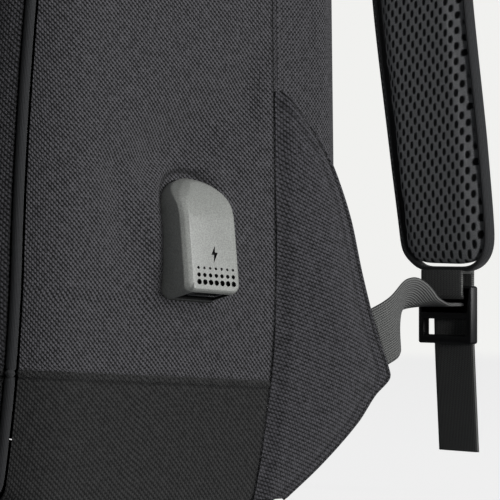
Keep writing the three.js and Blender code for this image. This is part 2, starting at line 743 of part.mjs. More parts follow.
// The webbing from the wing's edge, with a quarter twist, over the buckle's middle bar and down as a tail.
function webbingStations() {
  const edge = wingEdgeAt(webbingHeight);
  const along = wingEdgeAt(webbingHeight + webbingWidth / 2).sub(wingEdgeAt(webbingHeight - webbingWidth / 2));
  const away = new THREE.Vector3(0, along.z, -along.y).normalize();
  const lock = lockMiddle();
  const side = lockThickness / 2 + webbingSlack + webbingThickness / 2;
  const start = edge.clone().addScaledVector(away, webbingSeat);
  const turnHeight = lock.z + lockBar / 2 - webbingDrop;
  const overBar = span(Math.PI / 2, 0, 4).map((angle) => ({
    at: new THREE.Vector3(lock.x, lock.y + side * Math.cos(angle), turnHeight + side * Math.sin(angle)),
    twist: 1,
  }));
  const between = (across, ahead, hump) => new THREE.Vector3(
    blend(start.x, lock.x, across), blend(start.y, lock.y, ahead), turnHeight + side + hump);
  const rows = [
    { at: start, twist: 0 },
    { at: start.clone().addScaledVector(away, 8), twist: 0.02 },
    { at: between(0.36, 0.34, webbingHump), twist: 0.4 },
    { at: between(0.78, 0.6, webbingHump), twist: 0.85 },
    { at: between(0.98, 0.82, 0), twist: 1 },
    ...overBar,
    { at: new THREE.Vector3(lock.x, lock.y + side + 0.6, lock.z - lockHeight * 0.6), twist: 1 },
    { at: new THREE.Vector3(lock.x, lock.y + side + 3, tailHeight), twist: 1 },
  ];
  const curve = new THREE.CatmullRomCurve3(rows.map((row) => row.at));
  const steps = 56;
  return span(0, 1, steps).map((share) => {
    const place = curve.getUtoTmapping(share) * (rows.length - 1);
    const row = Math.min(Math.floor(place), rows.length - 2);
    const turn = (blend(rows[row].twist, rows[row + 1].twist, place - row) * Math.PI) / 2;
    const across = new THREE.Vector3(Math.sin(turn), 0, 0);
    return {
      middle: curve.getPointAt(share),
      wide: along.clone().normalize().multiplyScalar(Math.cos(turn)).add(across),
      width: webbingWidth,
      thickness: webbingThickness,
    };
  });
}

function mirrored(geometry) {
  return closedSurface(geometry.clone().scale(-1, 1, 1));
}

function addPair(name, geometry, material) {
  addPiece(name + "_right", geometry, material);
  addPiece(name + "_left", mirrored(geometry), material);
}

function handleSolid() {
  const floor = bodyHeight + sewGap + handleThickness / 2;
  const y = seamY + (rearReach - rearEdgeRadius) / 2;
  const half = handleSpan / 2;
  const rise = [
    { across: 0, up: 1 },
    { across: 0.7, up: 0.76 },
    { across: 0.93, up: 0.27 },
    { across: 1.04, up: 0.05 },
    { across: 1.2, up: 0.008 },
  ].map((row) => [half * row.across, handleRise * row.up]);
  rise.push([half + handleTab, 0]);
  const rows = [...rise.slice(1).reverse().map(([x, up]) => [-x, up]), ...rise];
  const curve = new THREE.CatmullRomCurve3(rows.map(([x, up]) => new THREE.Vector3(x, y, floor + up)));
  const stations = span(0, 1, 26).map((share) => ({
    middle: curve.getPoint(share),
    wide: new THREE.Vector3(0, 1, 0),
    width: webbingWidth,
    thickness: handleThickness,
  }));
  return bandSolid(stations, flatSection);
}

// A zip slider with its pull hanging on the back.
function sliderSolid() {
  const body = new THREE.BoxGeometry(sliderWidth, sliderDepth, sliderLength);
  const y = backY + sewGap + sliderDepth / 2;
  const z = bodyHeight - rearEdgeRadius - zipWidth / 2;
  body.translate(sliderSpacing / 2, y, z);
  const pull = new THREE.BoxGeometry(pullWidth, sliderDepth / 2, pullLength);
  pull.translate(sliderSpacing / 2, y + sliderDepth / 4, z - pullLength / 2);
  return toGeometry(toSolid(body).add(toSolid(pull)));
}

addShell();
addPort();
addPair("wing", wingSolid(), cloths.heather);
addPair("shoulder_strap", bandSolid(strapStations(), paddedSection), cloths.mesh);
addPair("ladder_lock", lockSolid(), cloths.plastic);
addPair("strap_tab", tabSolid(), cloths.webbing);
addPair("strap_webbing", bandSolid(webbingStations(), flatSection), cloths.webbing);
addPair("zip_slider", sliderSolid(), cloths.metal);
addPiece("grab_handle", handleSolid(), cloths.webbing);

export default bag;
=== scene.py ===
# %% [markdown]
# # A laptop backpack, seen close to its charging port
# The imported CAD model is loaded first, as a fixed frame. Every soft piece is then made again on the same
# formulas, much finer, and stands in for its CAD solid. The small hard pieces keep their CAD shape and get
# rounded edges. The port's housing is built again too, because its edges are much softer than a bevel makes
# them.

import json
import math

import bmesh
import bpy
import numpy as np
from mathutils import Matrix, Vector

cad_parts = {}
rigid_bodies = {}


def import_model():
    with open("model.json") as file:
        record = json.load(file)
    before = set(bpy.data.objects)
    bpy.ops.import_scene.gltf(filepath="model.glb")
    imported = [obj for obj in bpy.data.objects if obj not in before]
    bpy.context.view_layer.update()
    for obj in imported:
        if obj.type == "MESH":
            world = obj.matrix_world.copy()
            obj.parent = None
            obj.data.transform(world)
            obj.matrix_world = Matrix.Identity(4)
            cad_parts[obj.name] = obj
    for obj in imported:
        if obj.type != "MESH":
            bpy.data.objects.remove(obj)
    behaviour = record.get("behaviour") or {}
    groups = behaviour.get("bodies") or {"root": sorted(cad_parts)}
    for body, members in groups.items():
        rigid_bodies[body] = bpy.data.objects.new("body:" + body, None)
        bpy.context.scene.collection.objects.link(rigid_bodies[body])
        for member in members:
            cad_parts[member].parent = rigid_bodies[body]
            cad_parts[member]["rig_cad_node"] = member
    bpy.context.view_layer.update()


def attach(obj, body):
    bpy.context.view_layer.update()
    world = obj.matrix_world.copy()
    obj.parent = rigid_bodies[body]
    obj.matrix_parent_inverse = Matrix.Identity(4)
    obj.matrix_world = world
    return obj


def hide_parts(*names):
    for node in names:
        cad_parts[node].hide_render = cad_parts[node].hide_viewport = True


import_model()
scene = bpy.context.scene
MM = 0.001

# %% [markdown]
# ## Camera
# The bag is seen level with its lower side from ahead of it, through a long lens. The camera could be
# placed by eye, but its place is worked out from a point in the middle of the picture: the eye is 1.2 m
# from it.

# %% Camera
AZIMUTH = math.radians(52)
EYE_DISTANCE = 1.2
LENS = 224.64
BESIDE_PORT = Vector((0.148, 0.042, 0.1019))
PICTURE_SHIFT = 0.009615
towards_eye = Vector((math.sin(AZIMUTH), -math.cos(AZIMUTH), 0))
to_the_right = Vector((math.cos(AZIMUTH), math.sin(AZIMUTH), 0))
look_at = BESIDE_PORT - to_the_right * PICTURE_SHIFT

camera = bpy.data.objects.new("camera", bpy.data.cameras.new("camera"))
camera.location = look_at + towards_eye * EYE_DISTANCE
camera.rotation_euler = (-towards_eye).to_track_quat("-Z", "Y").to_euler()
camera.data.lens = LENS
camera.data.clip_start, camera.data.clip_end = 0.05, 60
scene.collection.objects.link(camera)
scene.camera = camera
print("camera at", [round(c, 3) for c in camera.location])

# %% [markdown]
# ## Shader maths
# A woven pattern is a sum over a surface. Wiring dozens of Math nodes by hand is hard to read, so a small
# class wraps a socket, and each operator adds the node that it stands for.


# %% Shader maths
class Field:
    """A socket whose value changes over a surface. An operator on it adds a Math node."""

    def __init__(self, finish, socket):
        self.finish, self.socket = finish, socket

    def __add__(self, other):
        return self.finish.maths("ADD", self, other)

    def __sub__(self, other):
        return self.finish.maths("SUBTRACT", self, other)

    def __rsub__(self, other):
        return self.finish.maths("SUBTRACT", other, self)

    def __mul__(self, other):
        return self.finish.maths("MULTIPLY", self, other)

    def __truediv__(self, other):
        return self.finish.maths("DIVIDE", self, other)

    def __pow__(self, other):
        return self.finish.maths("POWER", self, other)

    def __mod__(self, other):
        return self.finish.maths("FLOORED_MODULO", self, other)

    __radd__, __rmul__ = __add__, __mul__


class Finish:
    """A procedural material. Constants go straight on its shader; what varies is plugged in by end()."""

    def __init__(self, name, **constants):
        self.material = bpy.data.materials.new(name)
        self.material.use_nodes = True
        self.tree = self.material.node_tree
        self.shader = self.tree.nodes["Principled BSDF"]
        for socket, value in constants.items():
            self.shader.inputs[socket.replace("_", " ")].default_value = value

    def plug(self, socket, value):
        """Links a field to a socket, or sets the socket to a constant."""
        if isinstance(value, Field):
            self.tree.links.new(value.socket, socket)
        else:
            socket.default_value = value

    def node(self, kind, settings=None, sockets=None, out=0):
        """Adds one node of a type: its settings first, then the values or links of its sockets."""
        node = self.tree.nodes.new("ShaderNode" + kind)
        for key, value in (settings or {}).items():
            setattr(node, key, value)
        for key, value in (sockets or {}).items():
            self.plug(node.inputs[key], value)
        return Field(self, node.outputs[out])

    def maths(self, operation, *values):
        """One Math node."""
        return self.node("Math", {"operation": operation}, dict(enumerate(values)))

    def mix(self, share, first, second):
        """A colour between two, at a share from 0 to 1."""
        return self.node("Mix", {"data_type": "RGBA"}, {0: share, 6: first, 7: second}, out=2)

    def ramp(self, value, low, high):
        """Rises smoothly from 0 at low to 1 at high."""
        settings = {"interpolation_type": "SMOOTHSTEP"}
        return self.node("MapRange", settings, {0: value, 1: low, 2: high, 3: 0.0, 4: 1.0})

    def noise(self, vector, scale, detail=2.0, roughness=0.5):
        """A soft random field, about 0.5 in the middle."""
        sockets = {"Vector": vector, "Scale": scale, "Detail": detail, "Roughness": roughness}
        return self.node("TexNoise", None, sockets)

    def vector(self, x, y, z=0.0):
        """Three fields or numbers as one vector."""
        return self.node("CombineXYZ", None, {0: x, 1: y, 2: z})

    def place(self):
        """The point of the object, in metres."""
        return self.node("TexCoord", None, None, out=3)

    def cloth_place(self):
        """Where a point lies on the flat cloth, across and up, in millimetres."""
        split = self.tree.nodes.new("ShaderNodeSeparateXYZ")
        self.plug(split.inputs[0], self.node("UVMap", {"uv_map": "cloth"}))
        return Field(self, split.outputs[0]), Field(self, split.outputs[1])

    def attribute(self, name):
        """A value that the mesh holds for each of its points."""
        return self.node("Attribute", {"attribute_name": name}, None, out=2)

    def end(self, colour, height=None, depth=0.1, rough=None):
        """Plugs in the colour, the relief with its depth in millimetres, and the roughness."""
        self.plug(self.shader.inputs["Base Color"], colour)
        if height is not None:
            settings = {0: 1.0, 1: depth * MM, "Height": height}
            self.plug(self.shader.inputs["Normal"], self.node("Bump", None, settings))
        if rough is not None:
            self.plug(self.shader.inputs["Roughness"], rough)
        return self.material


def srgb(red, green, blue):
    """A colour given as it looks on screen, 0 to 255, as the light it reflects."""
    shares = np.array([red, green, blue]) / 255
    light = np.where(shares < 0.04045, shares / 12.92, ((shares + 0.055) / 1.055) ** 2.4)
    return (*light.tolist(), 1.0)


print("a mid grey reflects", [round(c, 3) for c in srgb(128, 128, 128)[:3]])

# %% [markdown]
# ## Woven cloth
# The real cloth is a plain weave of thick two-tone polyester: each yarn passes over one and under the next,
# and its colour changes along its length. A picture of cloth would be the quick way, but it repeats and
# carries its own light. Here the weave is worked out: which yarn is on top at a crossing, how round it is
# there, and how light that stretch of yarn is.


# %% Weaves
def weave(finish, yarn, slant=0.0):
    """Plain weave. Yarns lie every yarn mm; the one on top changes at each crossing, by the parity of its
    row and column. Its height is a half wave across the yarn times a half wave along it. The floats also
    line up along both diagonals, which gives two sets of stripes: the sine of half a turn times column plus
    row, and minus."""
    across, up = finish.cloth_place()
    column, row = across / yarn, (up + across * slant) / yarn
    column_number = finish.maths("FLOOR", column)
    row_number = finish.maths("FLOOR", row)
    warp_on_top = (column_number + row_number) % 2
    in_column = finish.maths("SINE", (column - column_number) * math.pi)
    in_row = finish.maths("SINE", (row - row_number) * math.pi)
    height = (in_column**0.6) * in_row * warp_on_top + (in_row**0.6) * in_column * (1 - warp_on_top)
    falling = finish.maths("SINE", (column + row) * math.pi)
    rising = finish.maths("SINE", (column - row) * math.pi)
    return column, row, height, falling, rising


def random_of(finish, x, y, seed):
    """A random share from 0 to 1 for each pair of whole numbers."""
    cell = finish.vector(finish.maths("FLOOR", x), finish.maths("FLOOR", y), seed)
    return finish.node("TexWhiteNoise", {"noise_dimensions": "3D"}, {0: cell}, out=0)


def woven(name, dark, light, yarn, depth, slant=0.0, stripes=(0.5, 0.25), streak=0.7, middle=0.42):
    """A cloth whose yarns run between a dark and a light shade: the two sets of stripes, stronger on some
    crossings than on others, and slow streaks along the yarns of both directions."""
    finish = Finish(name, Roughness=0.92, Sheen_Weight=0.12, Sheen_Roughness=0.6, Specular_IOR_Level=0.25)
    column, row, height, falling, rising = weave(finish, yarn, slant)
    along_warp = finish.noise(finish.vector(column * 0.9, row * 0.2, 3.0), 1.0, 1.0)
    along_weft = finish.noise(finish.vector(column * 0.2, row * 0.9, 9.0), 1.0, 1.0)
    crossing = random_of(finish, column, row, 1.0)
    waves = (falling * stripes[0] + rising * stripes[1]) * (0.55 + 0.9 * crossing)
    shade = middle + waves + (height - 0.4) * 0.3 + (along_warp + along_weft - 1) * streak
    colour = finish.mix(finish.maths("MAXIMUM", finish.maths("MINIMUM", shade, 1.0), 0.0), dark, light)
    # Painted shade: the colour is darkened towards near black by the mesh's painted-shade share, in seams,
    # grooves and round the port.
    colour = finish.mix(finish.attribute("painted_shade") * 0.85, colour, srgb(12, 12, 13))
    return finish.end(colour, height + falling * 0.3, depth)


heather = woven("heather_cloth", srgb(10, 10, 11), srgb(98, 97, 101), 0.98, 0.2, slant=0.1)
black_cloth = woven("black_cloth", srgb(9, 9, 9), srgb(62, 62, 62), 1.05, 0.18, slant=-0.05,
                    stripes=(0.4, 0.16))
wing_cloth = woven("wing_cloth", srgb(9, 9, 11), srgb(93, 92, 97), 0.98, 0.2, stripes=(0.34, 0.12))
rear_heather = woven("rear_heather", srgb(11, 11, 13), srgb(98, 97, 101), 0.98, 0.2, stripes=(0.32, 0.32))
print("cloths:", [m.name for m in (heather, black_cloth, wing_cloth, rear_heather)])

# %% [markdown]
# ## Narrow goods and mesh
# Webbing is woven in ribs along its length. The spacer mesh is knitted in two layers, and the holes of its
# outer one show the dark behind. A bitmap of either would blur close by, so both are worked out in
# millimetres too.


# %% Webbing, air mesh, thread and tape
def ribbed(name, dark, light, rib, depth):
    """Webbing: narrow ribs along its length, each a row of slanted stitches."""
    finish = Finish(name, Roughness=0.85, Sheen_Weight=0.15, Specular_IOR_Level=0.3)
    across, up = finish.cloth_place()
    rib_number = finish.maths("FLOOR", across / rib)
    in_rib = finish.maths("SINE", (across / rib - rib_number) * math.pi)
    lean = rib_number % 2 * 2 - 1
    knot = finish.maths("SINE", (up / rib * 1.1 + lean * (across / rib)) * math.pi)
    knot = finish.maths("ABSOLUTE", knot)
    height = (in_rib**0.5) * (0.55 + 0.45 * knot)
    grain = finish.noise(finish.vector(across * 3.0, up * 1.2), 1.0, 2.0)
    shade = finish.ramp(height * (0.6 + 0.8 * grain), 0.2, 1.0)
    colour = finish.mix(shade, dark, light)
    # Painted shade: the colour is darkened towards near black by the mesh's painted-shade share.
    colour = finish.mix(finish.attribute("painted_shade") * 0.8, colour, srgb(14, 14, 14))
    return finish.end(colour, height, depth)


def air_mesh(name):
    """Spacer mesh: rows of long leaning holes, each row shifted by half a pitch, in a soft knitted
    ground."""
    finish = Finish(name, Roughness=0.9, Sheen_Weight=0.1, Specular_IOR_Level=0.3)
    across, up = finish.cloth_place()
    row_height, pitch = 3.2, 5.1
    row = up / row_height
    row_number = finish.maths("FLOOR", row)
    column = (across + up * 0.12) / pitch + (row_number % 2) * 0.5
    x = (column - finish.maths("FLOOR", column) - 0.5) * (pitch / 0.85)
    y = (row - row_number - 0.5) * (row_height / 1.55)
    away = finish.maths("SQRT", x * x + y * y)
    ground = finish.ramp(away, 0.7, 1.6)
    knit = finish.maths("SINE", up * 7.0) * finish.maths("SINE", across * 6.0)
    grain = finish.noise(finish.vector(across * 2.0, up * 2.0), 1.0, 2.0)
    colour = finish.mix(ground * (0.35 + 0.9 * grain + knit * 0.12), srgb(9, 9, 10), srgb(186, 187, 189))
    return finish.end(colour, ground + knit * 0.1, 0.6)


def plain_thread(name, colour):
    """Sewing thread: a fine wave between a colour and a darker one, like its twist."""
    finish = Finish(name, Roughness=0.6, Sheen_Weight=0.3)
    twist = finish.node("TexWave", None, {"Vector": finish.place(), "Scale": 900.0, "Distortion": 1.0}, out=1)
    dark = tuple(c * 0.55 for c in colour[:3]) + (1.0,)
    return finish.end(finish.mix(twist, dark, colour), twist, 0.05)


webbing = ribbed("grey_webbing", srgb(22, 23, 22), srgb(134, 135, 133), 0.95, 0.5)
binding = ribbed("binding_tape", srgb(16, 16, 17), srgb(64, 65, 67), 0.6, 0.12)
mesh_cloth = air_mesh("air_mesh")
dark_thread = plain_thread("dark_thread", srgb(34, 34, 37))
pale_thread = plain_thread("pale_thread", srgb(150, 152, 155))
print("narrow goods:", [m.name for m in (webbing, binding, mesh_cloth, dark_thread, pale_thread)])


# %% [markdown]
# ## Hard finishes
# The port's housing is moulded in a pale grey plastic with a fine metallic grain. The buckles are black
# acetal, the socket is folded steel, and the zip sliders are dark cast metal. Each gets a grain of its own
# size.


# %% Hard finishes
def moulded(name, dark, light, grain, rough, metal=0.0, depth=0.03):
    """A hard finish: two close shades in grains of a size in mm, and a roughness that follows them."""
    finish = Finish(name, Metallic=metal, Specular_IOR_Level=0.45)
    fine = finish.noise(finish.place(), 1000.0 / grain, 2.0, 0.6)
    broad = finish.noise(finish.place(), 60.0, 3.0)
    share = finish.ramp(fine, 0.35, 0.68)
    colour = finish.mix(share * 0.8 + (broad - 0.5) * 0.5, dark, light)
    return finish.end(colour, fine, depth, rough + (broad - 0.5) * 0.12)


grey_plastic = moulded("grey_plastic", srgb(146, 148, 144), srgb(178, 180, 176), 0.5, 0.36)
black_plastic = moulded("black_plastic", srgb(16, 16, 17), srgb(30, 30, 31), 0.35, 0.42)
# Near-black painted shade for the walls of the holes, the pocket and the cloth's cut edge round the port.
painted_shade_dark = moulded("painted_shade_dark", srgb(6, 6, 6), srgb(11, 11, 11), 0.5, 0.8)
steel = moulded("socket_steel", srgb(150, 151, 152), srgb(196, 197, 198), 0.4, 0.28, metal=1.0)
slider_metal = moulded("slider_metal", srgb(56, 57, 59), srgb(92, 93, 95), 0.4, 0.38, metal=0.9)
print("hard finishes:", [m.name for m in (grey_plastic, black_plastic, steel, slider_metal)])


# %% [markdown]
# ## Meshes from grids
# Most pieces are sheets, and a sheet is a grid of points worked out at once with numpy. The mesh gets its
# flat cloth place as a UV map in millimetres, so a weave keeps its size and follows the cloth round every
# bend.


# %% Meshes from grids
def grid_mesh(name, points, cloth, painted_shade=None):
    """Joins a grid of points, rows by columns by three, with four-cornered faces. Millimetres become
    metres."""
    rows, columns = points.shape[:2]
    number = np.arange(rows * columns).reshape(rows, columns)
    corners = [number[:-1, :-1], number[:-1, 1:], number[1:, 1:], number[1:, :-1]]
    faces = np.stack(corners, -1).reshape(-1, 4)
    mesh = bpy.data.meshes.new(name)
    mesh.vertices.add(rows * columns)
    mesh.vertices.foreach_set("co", (points * MM).ravel())
    mesh.loops.add(faces.size)
    mesh.loops.foreach_set("vertex_index", faces.ravel())
    mesh.polygons.add(len(faces))
    mesh.polygons.foreach_set("loop_start", np.arange(len(faces)) * 4)
    mesh.polygons.foreach_set("use_smooth", np.ones(len(faces), bool))
    mesh.update(calc_edges=True)
    place = mesh.uv_layers.new(name="cloth")
    place.data.foreach_set("uv", cloth.reshape(-1, 2)[faces.ravel()].ravel().astype(np.float32))
    # A share of painted shade for each point, which darkens the cloth's colour in seams and grooves.
    shade = mesh.attributes.new("painted_shade", "FLOAT", "POINT")
    values = np.zeros(rows * columns) if painted_shade is None else np.broadcast_to(painted_shade, (rows, columns))
    shade.data.foreach_set("value", np.ravel(values).astype(np.float32))
    return mesh


print("a 3 by 3 sheet has", len(grid_mesh("try", np.zeros((3, 3, 3)), np.zeros((3, 3, 2))).polygons), "faces")

# %% [markdown]
# ## From mesh to piece
# Every mesh goes through the same few steps: into the scene, onto the bag's body, cleaned, and given its
# wall. One function for each step keeps the pieces below short.


# %% Pieces, cleaning and walls
def as_piece(name, mesh, material, slot, *nodes):
    """Puts a mesh in the scene as a piece that rides on the bag and stands for its CAD nodes."""
    piece = bpy.data.objects.new(name, mesh)
    scene.collection.objects.link(piece)
    if not mesh.materials:
        mesh.materials.append(material)
    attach(piece, "root")
    if nodes:
        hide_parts(*nodes)
    return piece


def cleaned(mesh, inside=None, closed=False, cut=None):
    """Merges doubles, drops collapsed faces, turns the faces out, and cuts the mesh by a plane if asked."""
    work = bmesh.new()
    work.from_mesh(mesh)
    bmesh.ops.remove_doubles(work, verts=work.verts, dist=0.00001)
    bmesh.ops.dissolve_degenerate(work, edges=work.edges, dist=0.000005)
    if closed:
        bmesh.ops.recalc_face_normals(work, faces=work.faces)
    elif inside is not None:
        middle = Vector(inside) * MM
        out = sum(f.normal.dot(f.calc_center_median() - middle) * f.calc_area() for f in work.faces)
        if out < 0:
            bmesh.ops.reverse_faces(work, faces=work.faces)
    if cut is not None:
        place, normal = cut
        everything = work.verts[:] + work.edges[:] + work.faces[:]
        bmesh.ops.bisect_plane(work, geom=everything, dist=0.000001, plane_co=place, plane_no=normal,
                               clear_outer=True)
    work.to_mesh(mesh)
    work.free()
    return mesh


def settled(piece, sharp=40):
    """Applies the modifiers of a piece and marks its sharp edges."""
    seen = piece.evaluated_get(bpy.context.evaluated_depsgraph_get())
    mesh = bpy.data.meshes.new_from_object(seen)
    piece.modifiers.clear()
    old, piece.data = piece.data, mesh
    bpy.data.meshes.remove(old)
    mesh.set_sharp_from_angle(angle=math.radians(sharp))
    return piece


def thickened(piece, wall, sharp=40):
    """Gives a sheet its wall, inwards from its outer face."""
    solid = piece.modifiers.new("wall", "SOLIDIFY")
    solid.thickness, solid.offset, solid.use_quality_normals = wall * MM, -1, True
    return settled(piece, sharp)


print("pieces ride on the bag's one body")

# %% [markdown]
# ## Measures and curves
# Four small array functions are shared by all surfaces. The smooth step and the bell are enough for folds,
# hems and seams. A noise would give livelier cloth, but it couldn't be kept the same here and in the CAD
# solids.


# %% Measures and curves
def run_length(points, axis):
    """Distance along one direction of a grid, added up from its start."""
    step = np.linalg.norm(np.diff(points, axis=axis), axis=-1)
    start = np.zeros_like(np.take(step, [0], axis=axis))
    return np.concatenate([start, np.cumsum(step, axis=axis)], axis=axis)


def blend(start, end, share):
    """Start plus a share of the way to the end."""
    return start + (end - start) * share


def smoothstep(value, low, high):
    """Rises from 0 at low to 1 at high with level ends."""
    share = np.clip((value - low) / (high - low), 0, 1)
    return share * share * (3 - 2 * share)


def bell(value, width):
    """1 at 0, and falling off as a bell of this half width."""
    return np.exp(-((value / width) ** 2))


print("halfway up a smooth step:", smoothstep(0.5, 0, 1))

# %% [markdown]
# ## The stage
# The floor and the backdrop are one shallow bowl, so no horizon shows from any side. It glows a little, so
# that it stays pale while the light on the bag is soft and comes from one side, as in a studio with a light
# tent.

# %% The stage
STAGE_RADIUS, STAGE_FLAT, STAGE_RISE, STAGE_MIDDLE_Y = 14000, 7000, 9000, 42


def bowl():
    """A flat floor that bends up into a wall: height grows with the cube of the way out past the floor's
    edge."""
    out = np.concatenate([np.linspace(0, 1800, 10), np.linspace(1900, STAGE_RADIUS, 40)])
    rise = STAGE_RISE * np.clip((out - STAGE_FLAT) / (STAGE_RADIUS - STAGE_FLAT), 0, 1) ** 3
    turn = np.linspace(0, 2 * np.pi, 97)
    x, y = out * np.cos(turn)[:, None], out * np.sin(turn)[:, None] + STAGE_MIDDLE_Y
    points = np.stack([x, y, np.broadcast_to(rise, x.shape)], -1)
    return grid_mesh("stage", points, points[..., :2])


finish = Finish("stage", Roughness=1.0, Specular_IOR_Level=0.0)
way_out = finish.maths("SQRT", finish.cloth_place()[0] ** 2 + finish.cloth_place()[1] ** 2)
far = finish.ramp(way_out, 1550.0, 1950.0)
finish.shader.inputs["Emission Strength"].default_value = 0.965
finish.plug(finish.shader.inputs["Emission Color"], finish.mix(far, srgb(236, 236, 236), srgb(243, 243, 241)))
finish.end(finish.mix(far, srgb(120, 120, 120), srgb(126, 126, 125)))
stage = bpy.data.objects.new("stage", cleaned(bowl()))
stage.data.materials.append(finish.material)
scene.collection.objects.link(stage)
stage.visible_diffuse = stage.visible_glossy = False
print("stage is", 2 * STAGE_RADIUS * MM, "m wide")

# %% [markdown]
# ## Light
# A large soft light from the port's side makes most of the picture, as a window would. A narrow strip ahead
# of it draws the bright edge on the port, and a weak one from above lifts the top. The world's own light is
# faint.

# %% World and lights
world = bpy.data.worlds.new("studio")
world.use_nodes = True
world.node_tree.nodes["Background"].inputs["Color"].default_value = (0.9, 0.95, 1.0, 1.0)
world.node_tree.nodes["Background"].inputs["Strength"].default_value = 0.06
scene.world = world
scene.view_settings.view_transform = "Standard"
LIT_POINT = Vector((0.1, 0.042, 0.15))


def soft_light(name, direction, distance, size, power):
    """A square area light that looks at the bag from a direction."""
    light = bpy.data.objects.new(name, bpy.data.lights.new(name, "AREA"))
    light.data.shape, light.data.size, light.data.energy = "SQUARE", size, power
    away = Vector(direction).normalized()
    light.location = LIT_POINT + away * distance
    light.rotation_euler = (-away).to_track_quat("-Z", "Y").to_euler()
    light.visible_camera = False
    scene.collection.objects.link(light)


soft_light("key", (0.95, 0.32, 0.22), 2.2, 0.8, 33)
soft_light("strip", (0.97, -0.24, 0.05), 1.8, 0.25, 5)
soft_light("top", (0.15, -0.1, 1.0), 2.4, 1.6, 4)

# %% [markdown]
# ## The shape of the bag
# The bag's outline from the front is a loop: a flat base, tight lower corners, sides that lean in, wide
# upper corners. The shell is a family of such loops, from the middle of the front to the middle of the
# back. The same loops make the cloth pieces, the piping, the seams and the zip, so they always meet.

# %% Sizes of the shell in millimetres
BODY_WIDTH, TOP_WIDTH, HEIGHT = 300, 284, 440
SEAM_Y, BACK_Y = 42, 80
FRONT_LOW, FRONT_TOP, FRONT_BULGE, FRONT_DOME = 122, 86, 8, 6
UPPER_RADIUS, SEAM_RADIUS, REAR_RADIUS = 70, 12, 58
FRONT_EDGE, REAR_EDGE, ZIP_WIDTH = 32, 16, 10
BASE_TUCK, TUCK_HEIGHT = 18, 100
BAND_HEIGHT, BAND_SLOPE = 51.5, 0.06
FIELD_END = 125
FRONT_FIELD_Y, FRONT_EDGE_Y = -80, -70
PAD_MIDDLE, PAD_HALF_WIDTH, PAD_HEIGHT, PAD_HALF_HEIGHT, PAD_DEPTH = 62, 46, 200, 160, 6
PORT_Y, PORT_Z, PORT_WIDTH, PORT_LENGTH, PORT_PROUD = 2, 108.75, 24.5, 46.5, 11.5
PORT_TILT, PORT_TURN = math.radians(12), math.radians(4)
PORT_SINK, PORT_SINK_REACH = 6, 0.42
SEW_GAP, CLOTH_WALL, BACK_WALL, ZIP_WALL = 0.3, 2.6, 3.6, 1.4
INSIDE = (0, 30, 200)
CLOTH_LEVEL = 150
print("the body is", BODY_WIDTH, "mm wide and", HEIGHT, "mm high")

# %% [markdown]
# ## The outline
# Seen from the front the bag is one loop of straight stretches and arcs. A soft bag could be one rounded
# box, but its sides lean and its corners differ, so each stretch is worked out from the widths and radii.


# %% The outline
def half_width(z):
    """Half the bag's width at a height: it narrows evenly to the top, and the base tucks in by a
    parabola."""
    tuck = BASE_TUCK * np.maximum(0, 1 - z / TUCK_HEIGHT) ** 2
    return BODY_WIDTH / 2 - (BODY_WIDTH - TOP_WIDTH) / 2 * z / HEIGHT - tuck


def side_angle(z):
    """Angle of the side's outward direction: the arc tangent of the slope of half_width, turned round."""
    return -np.arctan(half_width(z + 0.5) - half_width(z - 0.5))


def spread(*runs):
    """Places in runs of (start, end, step), each as even as its step allows."""
    parts = [np.linspace(a, b, max(2, round((b - a) / step) + 1))[:-1] for a, b, step in runs]
    return np.concatenate([*parts, [runs[-1][1]]])


side_heights = spread((12, 44, 2.5), (44, 66, 0.5), (66, 74, 1.6), (74, 152, 1.1), (152, 370, 4.5))
SIDE_SHARES = (side_heights - side_heights[0]) / (side_heights[-1] - side_heights[0])


def corner(end, radius, first, last, steps):
    """An arc that meets the side at a height, as places and outward directions."""
    turn = side_angle(end)
    angle = np.linspace(turn if first is None else first, turn if last is None else last, steps)
    x = half_width(end) - radius * math.cos(turn) + radius * np.cos(angle)
    z = end - radius * math.sin(turn) + radius * np.sin(angle)
    return np.stack([x, z, np.cos(angle), np.sin(angle)])


def outline(radius):
    """The loop from the middle of the base round and back to it: rows x, z and the outward direction's x
    and z."""
    low = radius
    for _ in range(8):
        low = radius * (1 + math.sin(side_angle(low)))
    high = HEIGHT - UPPER_RADIUS * (1 - math.sin(side_angle(HEIGHT)))
    lower = corner(low, radius, -math.pi / 2, None, 9)
    upper = corner(high, UPPER_RADIUS, None, math.pi / 2, 17)
    along = np.linspace(0, 1, 22)
    still = np.zeros_like(along)
    base = np.stack([lower[0, 0] * along, still, still, still - 1])
    z = low + (high - low) * SIDE_SHARES
    angle = side_angle(z)
    side = np.stack([half_width(z), z, np.cos(angle), np.sin(angle)])
    top = np.stack([upper[0, -1] * along[::-1], still + HEIGHT, still, still + 1])
    right = np.concatenate([base[:, :-1], lower[:, :-1], side[:, :-1], upper[:, :-1], top], axis=1)
    left = right[:, ::-1] * np.array([[-1], [1], [-1], [1]])
    return np.concatenate([right, left[:, 1:]], axis=1)


print("an outline has", outline(SEAM_RADIUS).shape[1], "points")

# %% [markdown]
# ## Folds, band and pads
# Cloth over a stiff form shows soft pulls, not sharp wrinkles. Each pull is a bell across a straight line.
# The cloth also sinks in above the port and curls round it, and the band has a folded edge.


# %% Relief of the cloth
def front_y(z):
    """Where the front lies at a height: a smooth step from the low to the top reach, less a half-wave
    bulge."""
    share = np.clip(z / HEIGHT, 0, 1)
    reach = blend(FRONT_LOW, FRONT_TOP, smoothstep(share, 0, 1))
    return SEAM_Y - reach - FRONT_BULGE * np.sin(np.pi * share)


FOLDS = [  # from ahead, from up, to ahead, to up, width, depth
    (0.45, 0.31, 0.02, 0.373, 1.0, 0.8),
    (0.6, 0.3, 0.58, 0.24, 0.5, 0.5),
    (0.1, 0.62, 0.62, 0.7, 1.8, 0.7),
]
FOLD_DEPTH, FOLD_WIDTH = 5, 13


